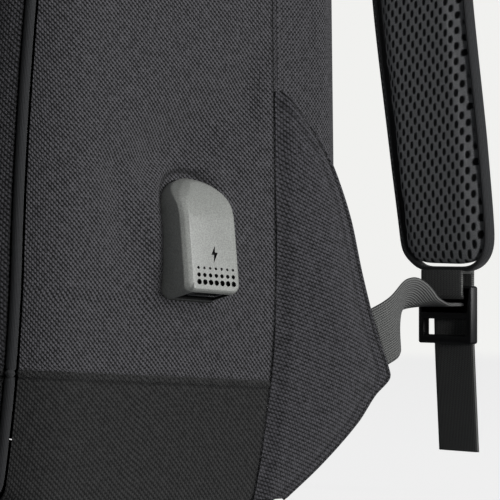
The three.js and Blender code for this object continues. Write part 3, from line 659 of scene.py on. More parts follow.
def off_line(y, z, start, end):
    """Distance of points from a straight stretch."""
    run = np.subtract(end, start)
    share = np.clip(((y - start[0]) * run[0] + (z - start[1]) * run[1]) / (run @ run), 0, 1)
    return np.hypot(y - start[0] - share * run[0], z - start[1] - share * run[1])


def off_port(y, z):
    """Signed distance from the tombstone outline of the port, below zero inside it."""
    a, b = y - PORT_Y, z - PORT_Z
    x = a * math.cos(PORT_TURN) - b * math.sin(PORT_TURN)
    up = a * math.sin(PORT_TURN) + b * math.cos(PORT_TURN)
    half, shoulder = PORT_WIDTH / 2, PORT_LENGTH / 2 - PORT_WIDTH / 2
    wide, low = np.abs(x) - half, -PORT_LENGTH / 2 - up
    box = np.hypot(np.maximum(wide, 0), np.maximum(low, 0)) + np.minimum(np.maximum(wide, low), 0)
    return np.where(up > shoulder, np.hypot(x, up - shoulder) - half, box)


def band_height(y):
    """Height of the edge of the black band."""
    return BAND_HEIGHT + BAND_SLOPE * (SEAM_Y - y)


def sink(spot, y):
    """How far the side cloth lies below its plain form: bells along the folds and above the port. Round the
    port a narrow bell takes the cut edge in, and a wider one, 4 mm out, lifts the cloth to a lip."""
    x, z, nx, _ = spot
    depth = np.zeros_like(z)
    for ahead, up, to_ahead, to_up, width, deep in FOLDS:
        start = (SEAM_Y - ahead * FRONT_LOW, up * HEIGHT)
        end = (SEAM_Y - to_ahead * FRONT_LOW, to_up * HEIGHT)
        depth += FOLD_DEPTH * deep * bell(off_line(y, z, start, end), FOLD_WIDTH * width)
    reach = PORT_LENGTH * PORT_SINK_REACH
    port_side = nx > 0
    depth += PORT_SINK * port_side * bell(np.hypot(y - PORT_Y, z - PORT_Z - PORT_LENGTH / 2), reach)
    depth *= np.abs(nx) * smoothstep(SEAM_Y - y, 0, FOLD_WIDTH)
    near = np.maximum(off_port(y, z), 0)
    curl = 0.9 * bell(near, 1.6) - 1.4 * bell(near - 4, 4)
    return depth + curl * port_side


def pushed_in(spot, inset, y):
    """The points of an outline, each moved inwards against its outward direction, at a place from front to
    back."""
    x, z, nx, nz = spot
    return np.stack([x - inset * nx, np.broadcast_to(y, x.shape), z - inset * nz], -1)


def field_point(rim, share):
    """Draws a rim in towards the upright line in the middle of a flat field."""
    z = np.clip(rim[:, 2], FIELD_END, HEIGHT - FIELD_END)
    return np.stack([rim[:, 0] * share, rim[:, 1], blend(z, rim[:, 2], share)], -1)


def band_relief(y, z):
    """The folded edge of the band: a flat roll just below the edge, and a groove under it."""
    above = (z - band_height(y)) / math.hypot(1, BAND_SLOPE)
    roll = 0.75 * smoothstep(above, -2.75, -2.1) * (1 - smoothstep(above, -0.5, 0.1))
    return roll - 0.5 * bell(above + 2.9, 0.5) - 0.25 * bell(above - 0.3, 0.5)


def pad_relief(x, z):
    """The two long pads of the back panel: one less the fourth power of the way across a pad, times one
    less the eighth power of the way up it, so they are flat on top with steep sides."""
    across = (np.abs(x) - PAD_MIDDLE) / PAD_HALF_WIDTH
    up = (z - PAD_HEIGHT) / PAD_HALF_HEIGHT
    return PAD_DEPTH * np.maximum(0, 1 - across**4) * np.maximum(0, 1 - up**8)


print("the port's middle lies", round(-float(off_port(PORT_Y, PORT_Z)), 1), "mm inside its own outline")

# %% [markdown]
# ## Lines of the shell
# One number says where a loop lies on its way from the middle of the front to the middle of the back.
# Between whole numbers it moves over one stretch of the shell, so a sheet of cloth is just a list of such
# numbers.


# %% Lines of the shell
def shell_line(along, under=0.0):
    """One loop round the bag. Along runs from 0, the middle of the front, over the rounded front edge from
    1 to 2, the main seam at 3, the rounded rear edge from 4 to 5 and the zip to 6, to 7, the middle of the
    back."""
    drawn_in = FRONT_EDGE * (1 - math.sin(min(max(along - 1, 0), 1) * math.pi / 2))
    opening = smoothstep(along, 3, 5)
    spot = outline(blend(SEAM_RADIUS + drawn_in, REAR_RADIUS, opening))
    stage_number = min(int(along), 6)
    part = along - stage_number
    if stage_number == 0:
        point = field_point(pushed_in(spot, FRONT_EDGE, 0.0), part)
        relief = band_relief(FRONT_FIELD_Y, point[:, 2])
        point[:, 1] = front_y(point[:, 2]) - FRONT_DOME * (1 - part * part) + under - relief
        return point
    if stage_number == 1:
        angle = part * math.pi / 2
        reach = FRONT_EDGE - under
        edge = pushed_in(spot, under + reach * (1 - math.sin(angle)), 0.0)
        relief = band_relief(FRONT_EDGE_Y, edge[:, 2])
        edge[:, 0] += relief * math.sin(angle) * spot[2]
        edge[:, 1] = front_y(edge[:, 2]) + under + reach * (1 - math.cos(angle)) - relief * math.cos(angle)
        return edge
    if stage_number == 2:
        edge = pushed_in(spot, under, 0.0)
        y = blend(front_y(edge[:, 2]) + FRONT_EDGE, SEAM_Y, part)
        relief = band_relief(y, spot[1]) * np.abs(spot[2])
        return pushed_in(spot, under + sink(spot, y) - relief, y)
    if stage_number == 3:
        return pushed_in(spot, under, blend(SEAM_Y, BACK_Y - REAR_EDGE, part))
    if stage_number == 4:
        angle = part * math.pi / 2
        reach = REAR_EDGE - under
        inset = under + reach * (1 - math.cos(angle))
        return pushed_in(spot, inset, BACK_Y - REAR_EDGE + reach * math.sin(angle))
    if stage_number == 5:
        return pushed_in(spot, REAR_EDGE + ZIP_WIDTH * part, BACK_Y - under)
    point = field_point(pushed_in(spot, REAR_EDGE + ZIP_WIDTH, BACK_Y), 1 - part)
    point[:, 1] = BACK_Y - under + pad_relief(point[:, 0], point[:, 2])
    return point


print("one loop of the shell has", shell_line(3.0).shape[0], "points")

# %% [markdown]
# ## Heather and black cloth
# The shell is sewn from a domed front, a gusset round the sides and top, and a narrower gusset behind the
# main seam. Each is a sheet between two lines of the shell. The black band is the same sheet below a sloped
# plane, so the sheet is made once and cut twice. The wall comes last, which closes every cut edge.

# %% The shell's cloth
BAND_PLANE = (Vector((0, SEAM_Y, BAND_HEIGHT)) * MM, Vector((0, BAND_SLOPE, 1)).normalized())


def shell_sheet(name, lines, flat=False):
    """The sheet between lines of the shell. Its cloth place is its x and z where it is flat. Elsewhere it
    is the run across from the main seam and the run round the bag, which is level at one height and alike
    on both sides. Painted shade darkens its colour at the seam, round the port and along the groove under the
    band's edge."""
    points = np.stack([shell_line(along) for along in lines], axis=1)
    if flat:
        cloth = points[..., [0, 2]]
    else:
        round_it = run_length(points, 0)
        level = np.argmin(np.abs(points[:len(points) // 2, :, 2] - CLOTH_LEVEL).sum(1))
        up = round_it - round_it[level] + points[level, :, 2]
        up[len(points) // 2:] = up[len(points) // 2::-1]
        across = run_length(points, 1)
        cloth = np.stack([across - across[:, -1:] if lines[0] < 3 else across, up], -1)
    # Painted shade: a share that darkens the cloth under the band's folded edge, in the groove below it,
    # round the port and along the main seam.
    above = (points[..., 2] - band_height(points[..., 1])) / math.hypot(1, BAND_SLOPE)
    painted_shade = bell(above + 2.95, 0.45) + 0.5 * bell(above - 0.1, 0.35)
    painted_shade += np.where(points[..., 0] > 0, 0.9 * bell(off_port(points[..., 1], points[..., 2]), 0.9), 0)
    painted_shade += bell(points[..., 1] - SEAM_Y, 0.55)
    return grid_mesh(name, points, cloth, np.clip(painted_shade, 0, 1))


def cut_sheet(mesh, name, keep_above, material, slot, node):
    """Keeps the part of a sheet above or below the edge of the band, gives it its wall and makes it a
    piece."""
    place, normal = BAND_PLANE
    side = -normal if keep_above else normal
    part = cleaned(mesh.copy(), inside=INSIDE, cut=(place, side))
    part.name = name
    return thickened(as_piece(name, part, material, slot, node), CLOTH_WALL)


front_lines = [*np.linspace(0, 0.9, 12), *np.linspace(0.95, 1.44, 10)]
front_sheet = shell_sheet("front", front_lines, flat=True)
front_cloth = cut_sheet(front_sheet, "front_cloth", True, heather, "heather_cloth", "front_panel")
front_black = cut_sheet(front_sheet, "front_black", False, black_cloth, "black_cloth", "front_band")

edge_lines = spread((1.56, 2.0, 0.055))
flank_lines = spread((2.0, 2.32, 0.04), (2.32, 2.80, 0.0122), (2.80, 2.965, 0.03), (2.965, 2.999, 0.006))
side_lines = [*edge_lines, *flank_lines[1:]]
side_sheet = shell_sheet("side", side_lines)
side_cloth = cut_sheet(side_sheet, "side_cloth", True, heather, "heather_cloth", "side_gusset")
base_cloth = cut_sheet(side_sheet, "base_cloth", False, black_cloth, "black_cloth", "base_gusset")

rear_sheet = shell_sheet("rear", [*spread((3.001, 3.05, 0.012), (3.05, 4.0, 0.08), (4.0, 4.98, 0.07))])
rear_cloth = as_piece("rear_cloth", cleaned(rear_sheet, inside=INSIDE), rear_heather, "heather_cloth",
                      "rear_gusset")
thickened(rear_cloth, CLOTH_WALL)
for piece in (front_cloth, front_black, side_cloth, base_cloth, rear_cloth):
    print(piece.name, len(piece.data.polygons), "faces")

# %% [markdown]
# ## Back panel
# The back panel is one sheet of spacer mesh over two long pads. It could be cut and sewn round each pad,
# but on most bags the mesh is simply pulled over both, so it is one flat field with two low rises.

# %% Back panel
back_lines = [*spread((6.0, 6.3, 0.03), (6.3, 7.0, 0.02))]
back_sheet = shell_sheet("back", back_lines, flat=True)
back_cloth = as_piece("back_cloth", cleaned(back_sheet, inside=INSIDE), mesh_cloth, "air_mesh", "back_panel")
thickened(back_cloth, BACK_WALL)
print("back panel has", len(back_cloth.data.polygons), "faces")

# %% [markdown]
# ## Tubes and stitches
# Straps, tapes and cords are all a flat or round section that is carried along a path. Stitches are one
# small shape repeated at even places. A curve with a bevel would also do, but a grid keeps the cloth's
# place.


# %% Tubes and stitches
def frames(path, wide=None):
    """Run, width and thickness directions along a path, for each of its points."""
    run = np.gradient(path, axis=0)
    run /= np.linalg.norm(run, axis=1, keepdims=True)
    if wide is None:
        wide = np.cross(run, [0.3, 0.5, 0.81])
    wide = wide - run * np.sum(wide * run, axis=1, keepdims=True)
    wide = wide / np.linalg.norm(wide, axis=1, keepdims=True)
    return run, wide, np.cross(run, wide)


def tube(name, path, profile, wide=None, scale=None, ends=True):
    """Carries a closed profile along a path: middle + width direction times u + thickness direction times
    v. The ends are drawn together to a point just past the last ring."""
    run, wide, thick = frames(path, wide)
    u, v = np.asarray(profile, float).T
    scale = np.ones((len(path), 2)) if scale is None else scale
    wide, thick = wide[:, None] * scale[:, :1, None], thick[:, None] * scale[:, 1:, None]
    points = path[:, None] + wide * u[:, None] + thick * v[:, None]
    points = np.concatenate([points, points[:, :1]], axis=1)
    if ends:
        first, last = points[:1].mean(axis=1, keepdims=True), points[-1:].mean(axis=1, keepdims=True)
        shape = (1, *points.shape[1:])
        points = np.concatenate([np.broadcast_to(first, shape), points, np.broadcast_to(last, shape)])
    around = run_length(points, 1)
    along = run_length(points, 0).max(axis=1, keepdims=True)
    cloth = np.stack([around, np.broadcast_to(along, around.shape)], -1)
    return cleaned(grid_mesh(name, points, cloth), closed=True)


def ring(sides, radius):
    """A circle as a closed section."""
    turn = np.linspace(0, 2 * np.pi, sides, endpoint=False)
    return np.stack([radius * np.cos(turn), radius * np.sin(turn)], -1)


def evenly(path, step):
    """Points along a path at even distances, with its length."""
    far = np.concatenate([[0], np.cumsum(np.linalg.norm(np.diff(path, axis=0), axis=1))])
    places = np.arange(step / 2, far[-1], step)
    return np.stack([np.interp(places, far, path[:, k]) for k in range(3)], -1), far[-1]


STITCH = np.array([[-1, 0, 0], [-0.75, 0.7, 0], [-0.75, 0, 0.8], [-0.75, -0.7, 0], [0, 1, 0.3], [0, 0, 1.3],
                   [0, -1, 0.3], [0.75, 0.7, 0], [0.75, 0, 0.8], [0.75, -0.7, 0], [1, 0, 0]])
STITCH_FACES = [(0, 2, 1), (0, 3, 2), (1, 2, 5, 4), (2, 3, 6, 5), (4, 5, 8, 7), (5, 6, 9, 8), (7, 8, 10),
                (8, 9, 10), (0, 1, 4, 7, 10, 9, 6, 3)]


def repeated(name, shape, faces, places, run, side, up):
    """One small shape at many places: place + run times x + side times y + up times z, as one array sum."""
    points = (places[:, None] + shape[:, :1] * run[:, None] + shape[:, 1:2] * side[:, None]
              + shape[:, 2:] * up[:, None])
    count, size = len(places), len(shape)
    corners = [tuple(np.add(face, k * size)) for k in range(count) for face in faces]
    mesh = bpy.data.meshes.new(name)
    mesh.from_pydata((points.reshape(-1, 3) * MM).tolist(), [], [tuple(map(int, c)) for c in corners])
    mesh.polygons.foreach_set("use_smooth", np.ones(len(mesh.polygons), bool))
    return cleaned(mesh, closed=True)


def stitched(name, path, outward, material, slot, length=2.4, pitch=3.1, width=0.28, away_from=False):
    """A row of stitches along a path, each pressed a little into the cloth."""
    places, _ = evenly(path, pitch)
    run = np.gradient(places, axis=0)
    run /= np.linalg.norm(run, axis=1, keepdims=True)
    out = places - outward if away_from else np.broadcast_to(np.asarray(outward, float), places.shape)
    out = out - run * np.sum(out * run, axis=1, keepdims=True)
    out /= np.linalg.norm(out, axis=1, keepdims=True)
    side = np.cross(out, run)
    mesh = repeated(name, STITCH, STITCH_FACES, places, run * length / 2, side * width, out * width)
    return as_piece(name, mesh, material, slot)


print("a stitch has", len(STITCH_FACES), "faces")

# %% [markdown]
# ## Zip and piping
# The zip lies round the rear edge: a flat tape, and on it two rows of teeth. The teeth are one small block
# that is repeated along the zip's line by array sums, every second one a little to the other side. The
# piping is a covered cord round the front, and the main seam has a low welt with a row of stitches beside
# it.

# %% Zip and piping
zip_lines = [5.03, 5.2, 5.4, 5.46, 5.54, 5.6, 5.8, 5.97]
zip_sheet = shell_sheet("zip", zip_lines)
zip_tape = as_piece("zip_cloth", cleaned(zip_sheet, inside=INSIDE), binding, "black_cloth", "zip_tape")
thickened(zip_tape, ZIP_WALL)

zip_path = shell_line(5.5)[:-1]
zip_path = np.concatenate([zip_path, zip_path[:1]])
tooth_places, zip_length = evenly(zip_path, 1.35)
tooth_run = np.gradient(tooth_places, axis=0)
tooth_run /= np.linalg.norm(tooth_run, axis=1, keepdims=True)
backwards = np.broadcast_to([0.0, 1.0, 0.0], tooth_places.shape)
tooth_side = np.cross(backwards, tooth_run)
tooth_places = tooth_places + tooth_side * np.where(np.arange(len(tooth_places)) % 2, 0.75, -0.75)[:, None]
TOOTH = np.array([[x, y, z] for z in (0, 1) for x, y in ((-1, -1), (1, -1), (1, 1), (-1, 1))], float)
TOOTH[4:, :2] *= 0.7
TOOTH_FACES = [(0, 3, 2, 1), (4, 5, 6, 7), (0, 1, 5, 4), (1, 2, 6, 5), (2, 3, 7, 6), (3, 0, 4, 7)]
teeth = repeated("zip_teeth", TOOTH, TOOTH_FACES, tooth_places, tooth_run * 0.45, tooth_side * 1.3,
                 backwards * 0.9)
as_piece("zip_teeth", teeth, black_plastic, "black_plastic")
print("zip of", round(zip_length), "mm with", len(tooth_places), "teeth")


def shell_tube(name, along, under, radius, sides=12, squash=1.0):
    """A cord that follows a line of the shell, its middle this far under the cloth's face."""
    path = shell_line(along, under)
    lift = shell_line(along, under - 1.0) - path
    lift /= np.linalg.norm(lift, axis=1, keepdims=True)
    run = np.gradient(path, axis=0)
    run /= np.linalg.norm(run, axis=1, keepdims=True)
    side = np.cross(run, lift)
    turn = np.linspace(0, 2 * np.pi, sides + 1)
    points = (path[:, None] + side[:, None] * (radius * np.cos(turn))[:, None]
              + lift[:, None] * (radius * squash * np.sin(turn))[:, None])
    cloth = np.stack([run_length(points, 1), run_length(points, 0)], -1)
    return cleaned(grid_mesh(name, points, cloth), closed=True)


as_piece("piping_cord", shell_tube("piping", 1.5, 0.8, 1.95), binding, "black_cloth", "front_piping")
as_piece("seam_welt", shell_tube("welt", 3.11, 0.25, 0.95, 10, 0.7), rear_heather, "heather_cloth")
seam_path = shell_line(3.0, -0.05)
stitched("seam_stitches", seam_path, np.array([0, SEAM_Y, 200]), dark_thread, "heather_cloth", 2.2, 2.9, 0.22,
         away_from=True)
print("piping and seam welts made")

# %% [markdown]
# ## Wings
# A wing is a flat triangle of the same cloth, sewn into the main seam, that carries the lower strap. Its
# free edge is a curve through a short table. The cloth is turned over at that edge and stitched down, so
# the outer few millimetres are thicker, with a groove where the stitches pull.

# %% Wings
WING_REACH, WING_TOP, WING_BOTTOM, WING_WALL, WING_BULGE = 58, 163, 5, 2.6, 4.5
HEM_STITCH, HEM_END = 1.7, 6.6
WING_TURN = math.radians(25)
TURN_Y, TURN_Z = 60, 125
WING_EDGE = np.array([
    (0, 0.25), (0.08, 0.5), (0.18, 0.76), (0.25, 0.89), (0.29, 1), (0.32, 0.98), (0.41, 0.85), (0.55, 0.71),
    (0.69, 0.61), (0.8, 0.49), (0.87, 0.38), (0.95, 0.2), (1, 0.06),
])


def wing_reach(up):
    """Reach of the free edge, as a share: a cubic through the table with the slope of each row's
    neighbours."""
    rows = np.vstack([WING_EDGE[:1], WING_EDGE, WING_EDGE[-1:]])
    i = np.clip(np.searchsorted(WING_EDGE[:, 0], up, side="left"), 1, len(WING_EDGE) - 1)
    before, start, end, after = rows[i - 1], rows[i], rows[i + 1], rows[i + 2]
    step = end[:, 0] - start[:, 0]
    t = np.clip((up - start[:, 0]) / step, 0, 1)
    with np.errstate(divide="ignore", invalid="ignore"):
        slope_start = (end[:, 1] - before[:, 1]) / np.maximum(end[:, 0] - before[:, 0], 1e-6)
        slope_end = (after[:, 1] - start[:, 1]) / np.maximum(after[:, 0] - start[:, 0], 1e-6)
    return (start[:, 1] * (2 * t**3 - 3 * t**2 + 1) + slope_start * step * (t**3 - 2 * t**2 + t)
            + end[:, 1] * (3 * t**2 - 2 * t**3) + slope_end * step * (t**3 - t**2))


def wing_point(up, across, under=0.0):
    """Outer face of the wing: a half-wave bulge up it times one across it, plus the turned edge with its
    groove at the stitches, less a smooth slope that takes the cloth down to its seam."""
    z = blend(WING_BOTTOM, WING_TOP, up)
    reach = WING_REACH * wing_reach(up.ravel()).reshape(up.shape)
    bulge = WING_BULGE * np.sin(np.pi * up) * np.sin(np.pi * np.minimum(1, across * 1.1) ** 1.4)
    from_edge = reach * (1 - across)
    hem = 0.55 * (1 - smoothstep(from_edge, 5.0, HEM_END)) - 0.5 * bell(from_edge - HEM_STITCH, 0.55)
    hem = hem - 0.35 * (1 - smoothstep(from_edge, 0.0, 0.9))
    ripple = 0.22 * np.sin(z * 0.13 + reach * across * 0.11) * smoothstep(from_edge, 6, 14)
    sewn_down = (WING_WALL - 0.2) * (1 - smoothstep(reach * across, 0, 7))
    x = half_width(z) + SEW_GAP + WING_WALL + np.maximum(0, bulge) + hem + ripple - sewn_down - under
    return np.stack([x, SEAM_Y + SEW_GAP + reach * across, z], -1), from_edge


wing_up = np.concatenate([[0], np.linspace(0, 1, 150)[1:-1] ** 0.97, [1]])
wing_across = spread((0, 0.15, 0.012), (0.15, 0.8, 0.03), (0.8, 1.0, 0.007))
up_grid, across_grid = np.meshgrid(wing_up, wing_across, indexing="ij")
wing_points, from_edge = wing_point(up_grid, across_grid)
# Painted shade: the wing's colour is darkened along its hem stitches, at the hem's inner end and along its
# sewn root at the main seam.
wing_painted_shade = bell(from_edge - HEM_STITCH, 0.5) * 0.75 + 0.45 * bell(from_edge - HEM_END, 0.8)
wing_painted_shade = wing_painted_shade + 0.7 * bell(across_grid * WING_REACH, 0.4)
wing_turn = WING_TURN * (1 - 0.8 * smoothstep(wing_points[..., 2], 90, 165))
off_y, off_z = wing_points[..., 1] - TURN_Y, wing_points[..., 2] - TURN_Z
wing_cloth_place = np.stack([off_y * np.cos(wing_turn) + off_z * np.sin(wing_turn),
                             off_z * np.cos(wing_turn) - off_y * np.sin(wing_turn)], -1)
wing_mesh = grid_mesh("wing", wing_points, wing_cloth_place, np.clip(wing_painted_shade, 0, 1))
stitch_across = 1 - HEM_STITCH / np.maximum(WING_REACH * wing_reach(wing_up), 3)
stitch_line, _ = wing_point(wing_up[4:-4], stitch_across[4:-4])


def mirror_of(mesh, name):
    """The same mesh on the other side of the bag, with its faces turned back out."""
    copy = mesh.copy()
    copy.name = name
    copy.transform(Matrix.Scale(-1, 4, (1, 0, 0)))
    copy.flip_normals()
    return copy


def as_pair(name, mesh, material, slot, node=None):
    """A piece on the port side and its mirror on the other side."""
    nodes = ([f"{node}_right"], [f"{node}_left"]) if node else ([], [])
    left = mirror_of(mesh, f"{name}_left")
    return (as_piece(f"{name}_right", mesh, material, slot, *nodes[0]),
            as_piece(f"{name}_left", left, material, slot, *nodes[1]))


wings = as_pair("wing_cloth", cleaned(wing_mesh, inside=(100, 60, 80)), wing_cloth, "heather_cloth", "wing")
for wing in wings:
    thickened(wing, 2.2)
hem_stitches = stitched("wing_stitches_right", stitch_line + [0.1, 0, 0], (1, 0, 0), dark_thread,
                        "heather_cloth", width=0.25)
as_piece("wing_stitches_left", mirror_of(hem_stitches.data, "wing_stitches_left"), dark_thread,
         "heather_cloth")
print("wings of", [len(w.data.polygons) for w in wings], "faces")

# %% [markdown]
# ## Shoulder straps
# A strap is foam in a sleeve of spacer mesh, bound at its edges with narrow tape. Its middle line is a
# curve through a short table of places. The foam is blown up a little by a cloth simulation, so its faces
# crown and its edges draw in as they do on a real one. The net needs a flat place for each point, so after
# the simulation each point takes the run and the width of the nearest station of the middle line.


# %% The strap's middle line
def spline(points, shares):
    """A centripetal Catmull-Rom curve through points: each stretch is a cubic whose end slopes weigh the
    distances to the neighbours by their square roots."""
    points = np.asarray(points, float)
    row = np.vstack([2 * points[0] - points[1], points, 2 * points[-1] - points[-2]])
    place = np.asarray(shares) * (len(points) - 1)
    i = np.minimum(place.astype(int), len(points) - 2)
    t = (place - i)[:, None]
    p0, p1, p2, p3 = row[i], row[i + 1], row[i + 2], row[i + 3]
    d0, d1, d2 = (np.sqrt(np.linalg.norm(b - a, axis=1))[:, None] for a, b in ((p0, p1), (p1, p2), (p2, p3)))
    m1 = ((p1 - p0) / d0 - (p2 - p0) / (d0 + d1) + (p2 - p1) / d1) * d1
    m2 = ((p2 - p1) / d1 - (p3 - p1) / (d1 + d2) + (p3 - p2) / d2) * d1
    return p1 + m1 * t + (3 * (p2 - p1) - 2 * m1 - m2) * t**2 + (2 * (p1 - p2) + m1 + m2) * t**3


STRAP_WIDTH, STRAP_THICK = 66, 9
STRAP_ANCHOR, STRAP_END = 396, 94
STRAP_TOP_X, STRAP_END_X, STRAP_STANDOFF = 54, 114, 76
STRAP_STATIONS, END_ROUNDING = 181, 13
PAD_INSET, TAPE_INSET = 4.4, 4.6
FOAM_VOXEL, FOAM_CAP = 3.6, 1.8
STRAP_ROWS = np.array([  # up, behind, across, width
    (0.96, 0, 0, 0.78), (1.02, 0.1, 0.02, 0.82), (1.075, 0.42, 0.06, 0.88), (1.0, 0.8, 0.14, 0.95),
    (0.82, 1.02, 0.3, 1), (0.6, 1.06, 0.5, 1), (0.36, 1.0, 0.74, 0.99), (0.16, 0.99, 0.92, 0.97),
    (0.03, 1, 1, 0.93), (0, 1, 1, 0.8),
])


def strap_line(count):
    """Middle points and widths of the strap, from its anchor down to its end."""
    up, behind, across, width = STRAP_ROWS.T
    behind_it = BACK_Y + SEW_GAP + STRAP_THICK / 2 + STRAP_STANDOFF * behind
    points = np.stack([blend(STRAP_TOP_X, STRAP_END_X, across), behind_it,
                       blend(STRAP_END, STRAP_ANCHOR, up)], -1)
    shares = np.linspace(0, 1, count)
    place = np.arange(len(width)) / (len(width) - 1)
    return spline(points, shares), STRAP_WIDTH * np.interp(shares, place, width)


def padded_profile(sides, squareness=0.45):
    """An oval with full sides: powers of the cosine and the sine."""
    turn = np.linspace(0, 2 * np.pi, sides, endpoint=False)
    c, s = np.cos(turn), np.sin(turn)
    return np.stack([np.sign(c) * np.abs(c) ** squareness, np.sign(s) * np.abs(s) ** 0.7], -1)


strap_path, strap_width = strap_line(STRAP_STATIONS)
sideways = np.broadcast_to([1.0, 0.0, 0.0], strap_path.shape)
strap_scale = np.stack([strap_width / 2 - PAD_INSET, np.full(STRAP_STATIONS, STRAP_THICK / 2 - 1.3)], -1)
strap_far = run_length(strap_path[:, None], 0)[:, 0]
to_end = np.clip(2 * (strap_far[-1] - strap_far) / END_ROUNDING, 0, 1)
end_round = np.minimum(1, np.sqrt(to_end) * 0.35 + 0.65)
strap_scale[:, 0] *= end_round
strap_core = tube("strap_pad", strap_path, padded_profile(44), sideways, strap_scale)
print("strap is", round(strap_far[-1]), "mm long")

# %% [markdown]
# ## Blowing up the foam
# Foam in a sleeve pushes its faces out and pulls its edges in. The pad is remeshed evenly, blown up as
# cloth for a few frames without gravity, and held close to its first shape, so that it stays beside its
# buckle and its tape.


# %% Blowing up the foam
def swollen(mesh, voxel, cap, pressure=4.0, frames_run=20):
    """Remeshes a closed pad, blows it up as cloth, and keeps each point within cap mm of where it was."""
    pad = bpy.data.objects.new("swelling", mesh.copy())
    scene.collection.objects.link(pad)
    remesh = pad.modifiers.new("remesh", "REMESH")
    remesh.mode, remesh.voxel_size = "VOXEL", voxel * MM
    settled(pad, 180)
    count = len(pad.data.vertices)
    start = np.empty(count * 3)
    pad.data.vertices.foreach_get("co", start)
    cloth = pad.modifiers.new("cloth", "CLOTH")
    cloth.settings.use_pressure = True
    cloth.settings.uniform_pressure_force = pressure
    cloth.settings.effector_weights.gravity = 0
    cloth.point_cache.frame_start, cloth.point_cache.frame_end = 1, frames_run
    for frame_number in range(1, frames_run + 1):
        scene.frame_set(frame_number)
    settled(pad, 180)
    end = np.empty(count * 3)
    pad.data.vertices.foreach_get("co", end)
    move = (end - start).reshape(-1, 3)
    far = np.linalg.norm(move, axis=1, keepdims=True)
    move *= np.minimum(1, cap * MM / np.maximum(far, 1e-9))
    pad.data.vertices.foreach_set("co", (start.reshape(-1, 3) + move).ravel())
    scene.frame_set(1)
    finer = pad.modifiers.new("finer", "SUBSURF")
    finer.levels = finer.render_levels = 1
    settled(pad, 180)
    result = pad.data
    bpy.data.objects.remove(pad)
    return result


def laid_along(mesh, path, wide):
    """Gives a mesh its cloth place from a path: the run of the nearest station, and the distance across
    it."""
    count = len(mesh.vertices)
    points = np.empty(count * 3, np.float32)
    mesh.vertices.foreach_get("co", points)
    points = points.reshape(-1, 3) / MM
    run, wide, _ = frames(path, wide)
    far = run_length(path[:, None], 0)[:, 0]
    near = np.concatenate([np.argmin(((part[:, None] - path[None]) ** 2).sum(-1), axis=1)
                           for part in np.array_split(points, 40)])
    off = points - path[near]
    across = (off * wide[near]).sum(1)
    along = far[near] + (off * run[near]).sum(1)
    corner_of = np.empty(len(mesh.loops), np.int32)
    mesh.loops.foreach_get("vertex_index", corner_of)
    place = mesh.uv_layers.get("cloth") or mesh.uv_layers.new(name="cloth")
    cloth = np.stack([across, along], -1)
    place.data.foreach_set("uv", cloth[corner_of].ravel().astype(np.float32))
    # Every point gets a painted-shade share of nought, so the finish paints no shade on this piece.
    if "painted_shade" not in mesh.attributes:
        mesh.attributes.new("painted_shade", "FLOAT", "POINT")
    return mesh


strap_mesh = swollen(strap_core, FOAM_VOXEL, FOAM_CAP)
strap_mesh = laid_along(strap_mesh, strap_path, sideways)
strap_mesh.polygons.foreach_set("use_smooth", np.ones(len(strap_mesh.polygons), bool))
strap_mesh.materials.clear()
straps = as_pair("strap_pad", strap_mesh, mesh_cloth, "air_mesh", "shoulder_strap")
print("straps of", len(strap_mesh.polygons), "faces")

# %% [markdown]
# ## Binding of the straps
# The sleeve's two sheets meet at the strap's edges in a narrow folded tape, sewn with a row of small
# stitches on each face. The tape is a flattened tube along each edge, and it follows round the strap's
# lower corners.


# %% Binding
def edge_line(side):
    """The strap's edge: its middle line plus half its width, drawn round at the lower end."""
    _, wide, _ = frames(strap_path, sideways)
    half = (strap_width / 2 - TAPE_INSET) * end_round
    return strap_path[3:] + wide[3:] * (side * half)[3:, None]


round_end = np.concatenate([edge_line(1), edge_line(-1)[::-1]])
round_end, binding_length = evenly(round_end, 2.0)
smoothing = np.array([0.25, 0.5, 0.25])
for _ in range(6):
    inner = sum(w * round_end[k:len(round_end) - 2 + k] for k, w in enumerate(smoothing))
    round_end = np.concatenate([round_end[:1], inner, round_end[-1:]])
nearest = np.argmin(((round_end[:, None] - strap_path[None]) ** 2).sum(-1), axis=1)
tape_up = frames(strap_path, sideways)[2][nearest]
tape_profile = padded_profile(14, 0.8) * [1.1, 2.7]
tape_wide = np.cross(tape_up, frames(round_end)[0])
tape_mesh = tube("strap_tape", round_end, tape_profile, tape_wide)
as_pair("strap_tape", tape_mesh, binding, "black_cloth")
inward = strap_path[nearest] - round_end
inward /= np.linalg.norm(inward, axis=1, keepdims=True)
for face, turn in (("back", 1), ("front", -1)):
    row = round_end + inward * 0.5 + tape_up * (turn * 2.5)
    stitches = stitched(f"strap_stitches_{face}_right", row, tape_up[0], pale_thread, "air_mesh",
                        length=1.3, pitch=2.6, width=0.16)
    as_piece(f"strap_stitches_{face}_left", mirror_of(stitches.data, "row"), pale_thread, "air_mesh")
print("binding of", round(binding_length), "mm a strap")

# %% [markdown]
# ## Lower webbing
# The lower strap is 25 mm webbing. It leaves the wing on edge, takes a quarter turn, goes over the buckle's
# middle bar and hangs down as a tail. Its run is the CAD's own route, with rounder edges and ribs.

# %% Webbing
LOCK_HEIGHT, LOCK_THICK, LOCK_BAR, LOCK_BELOW = 24, 4, 3.6, 7
WEBBING, WEBBING_THICK = 25, 1.6
WEBBING_Z, WEBBING_SEAT, WEBBING_SLACK, WEBBING_DROP, TAIL_Z = 67, 0.9, 0.6, 1, 18
lock_middle = np.array([STRAP_END_X, strap_path[-1, 1], STRAP_END - LOCK_BELOW - LOCK_HEIGHT / 2])


def wing_edge_at(z):
    """The middle of the wing's wall at its free edge, at a height."""
    up = np.array([(z - WING_BOTTOM) / (WING_TOP - WING_BOTTOM)])
    reach = WING_REACH * wing_reach(up)[0]
    return np.array([half_width(z) + SEW_GAP + WING_WALL / 2, SEAM_Y + SEW_GAP + reach, z])


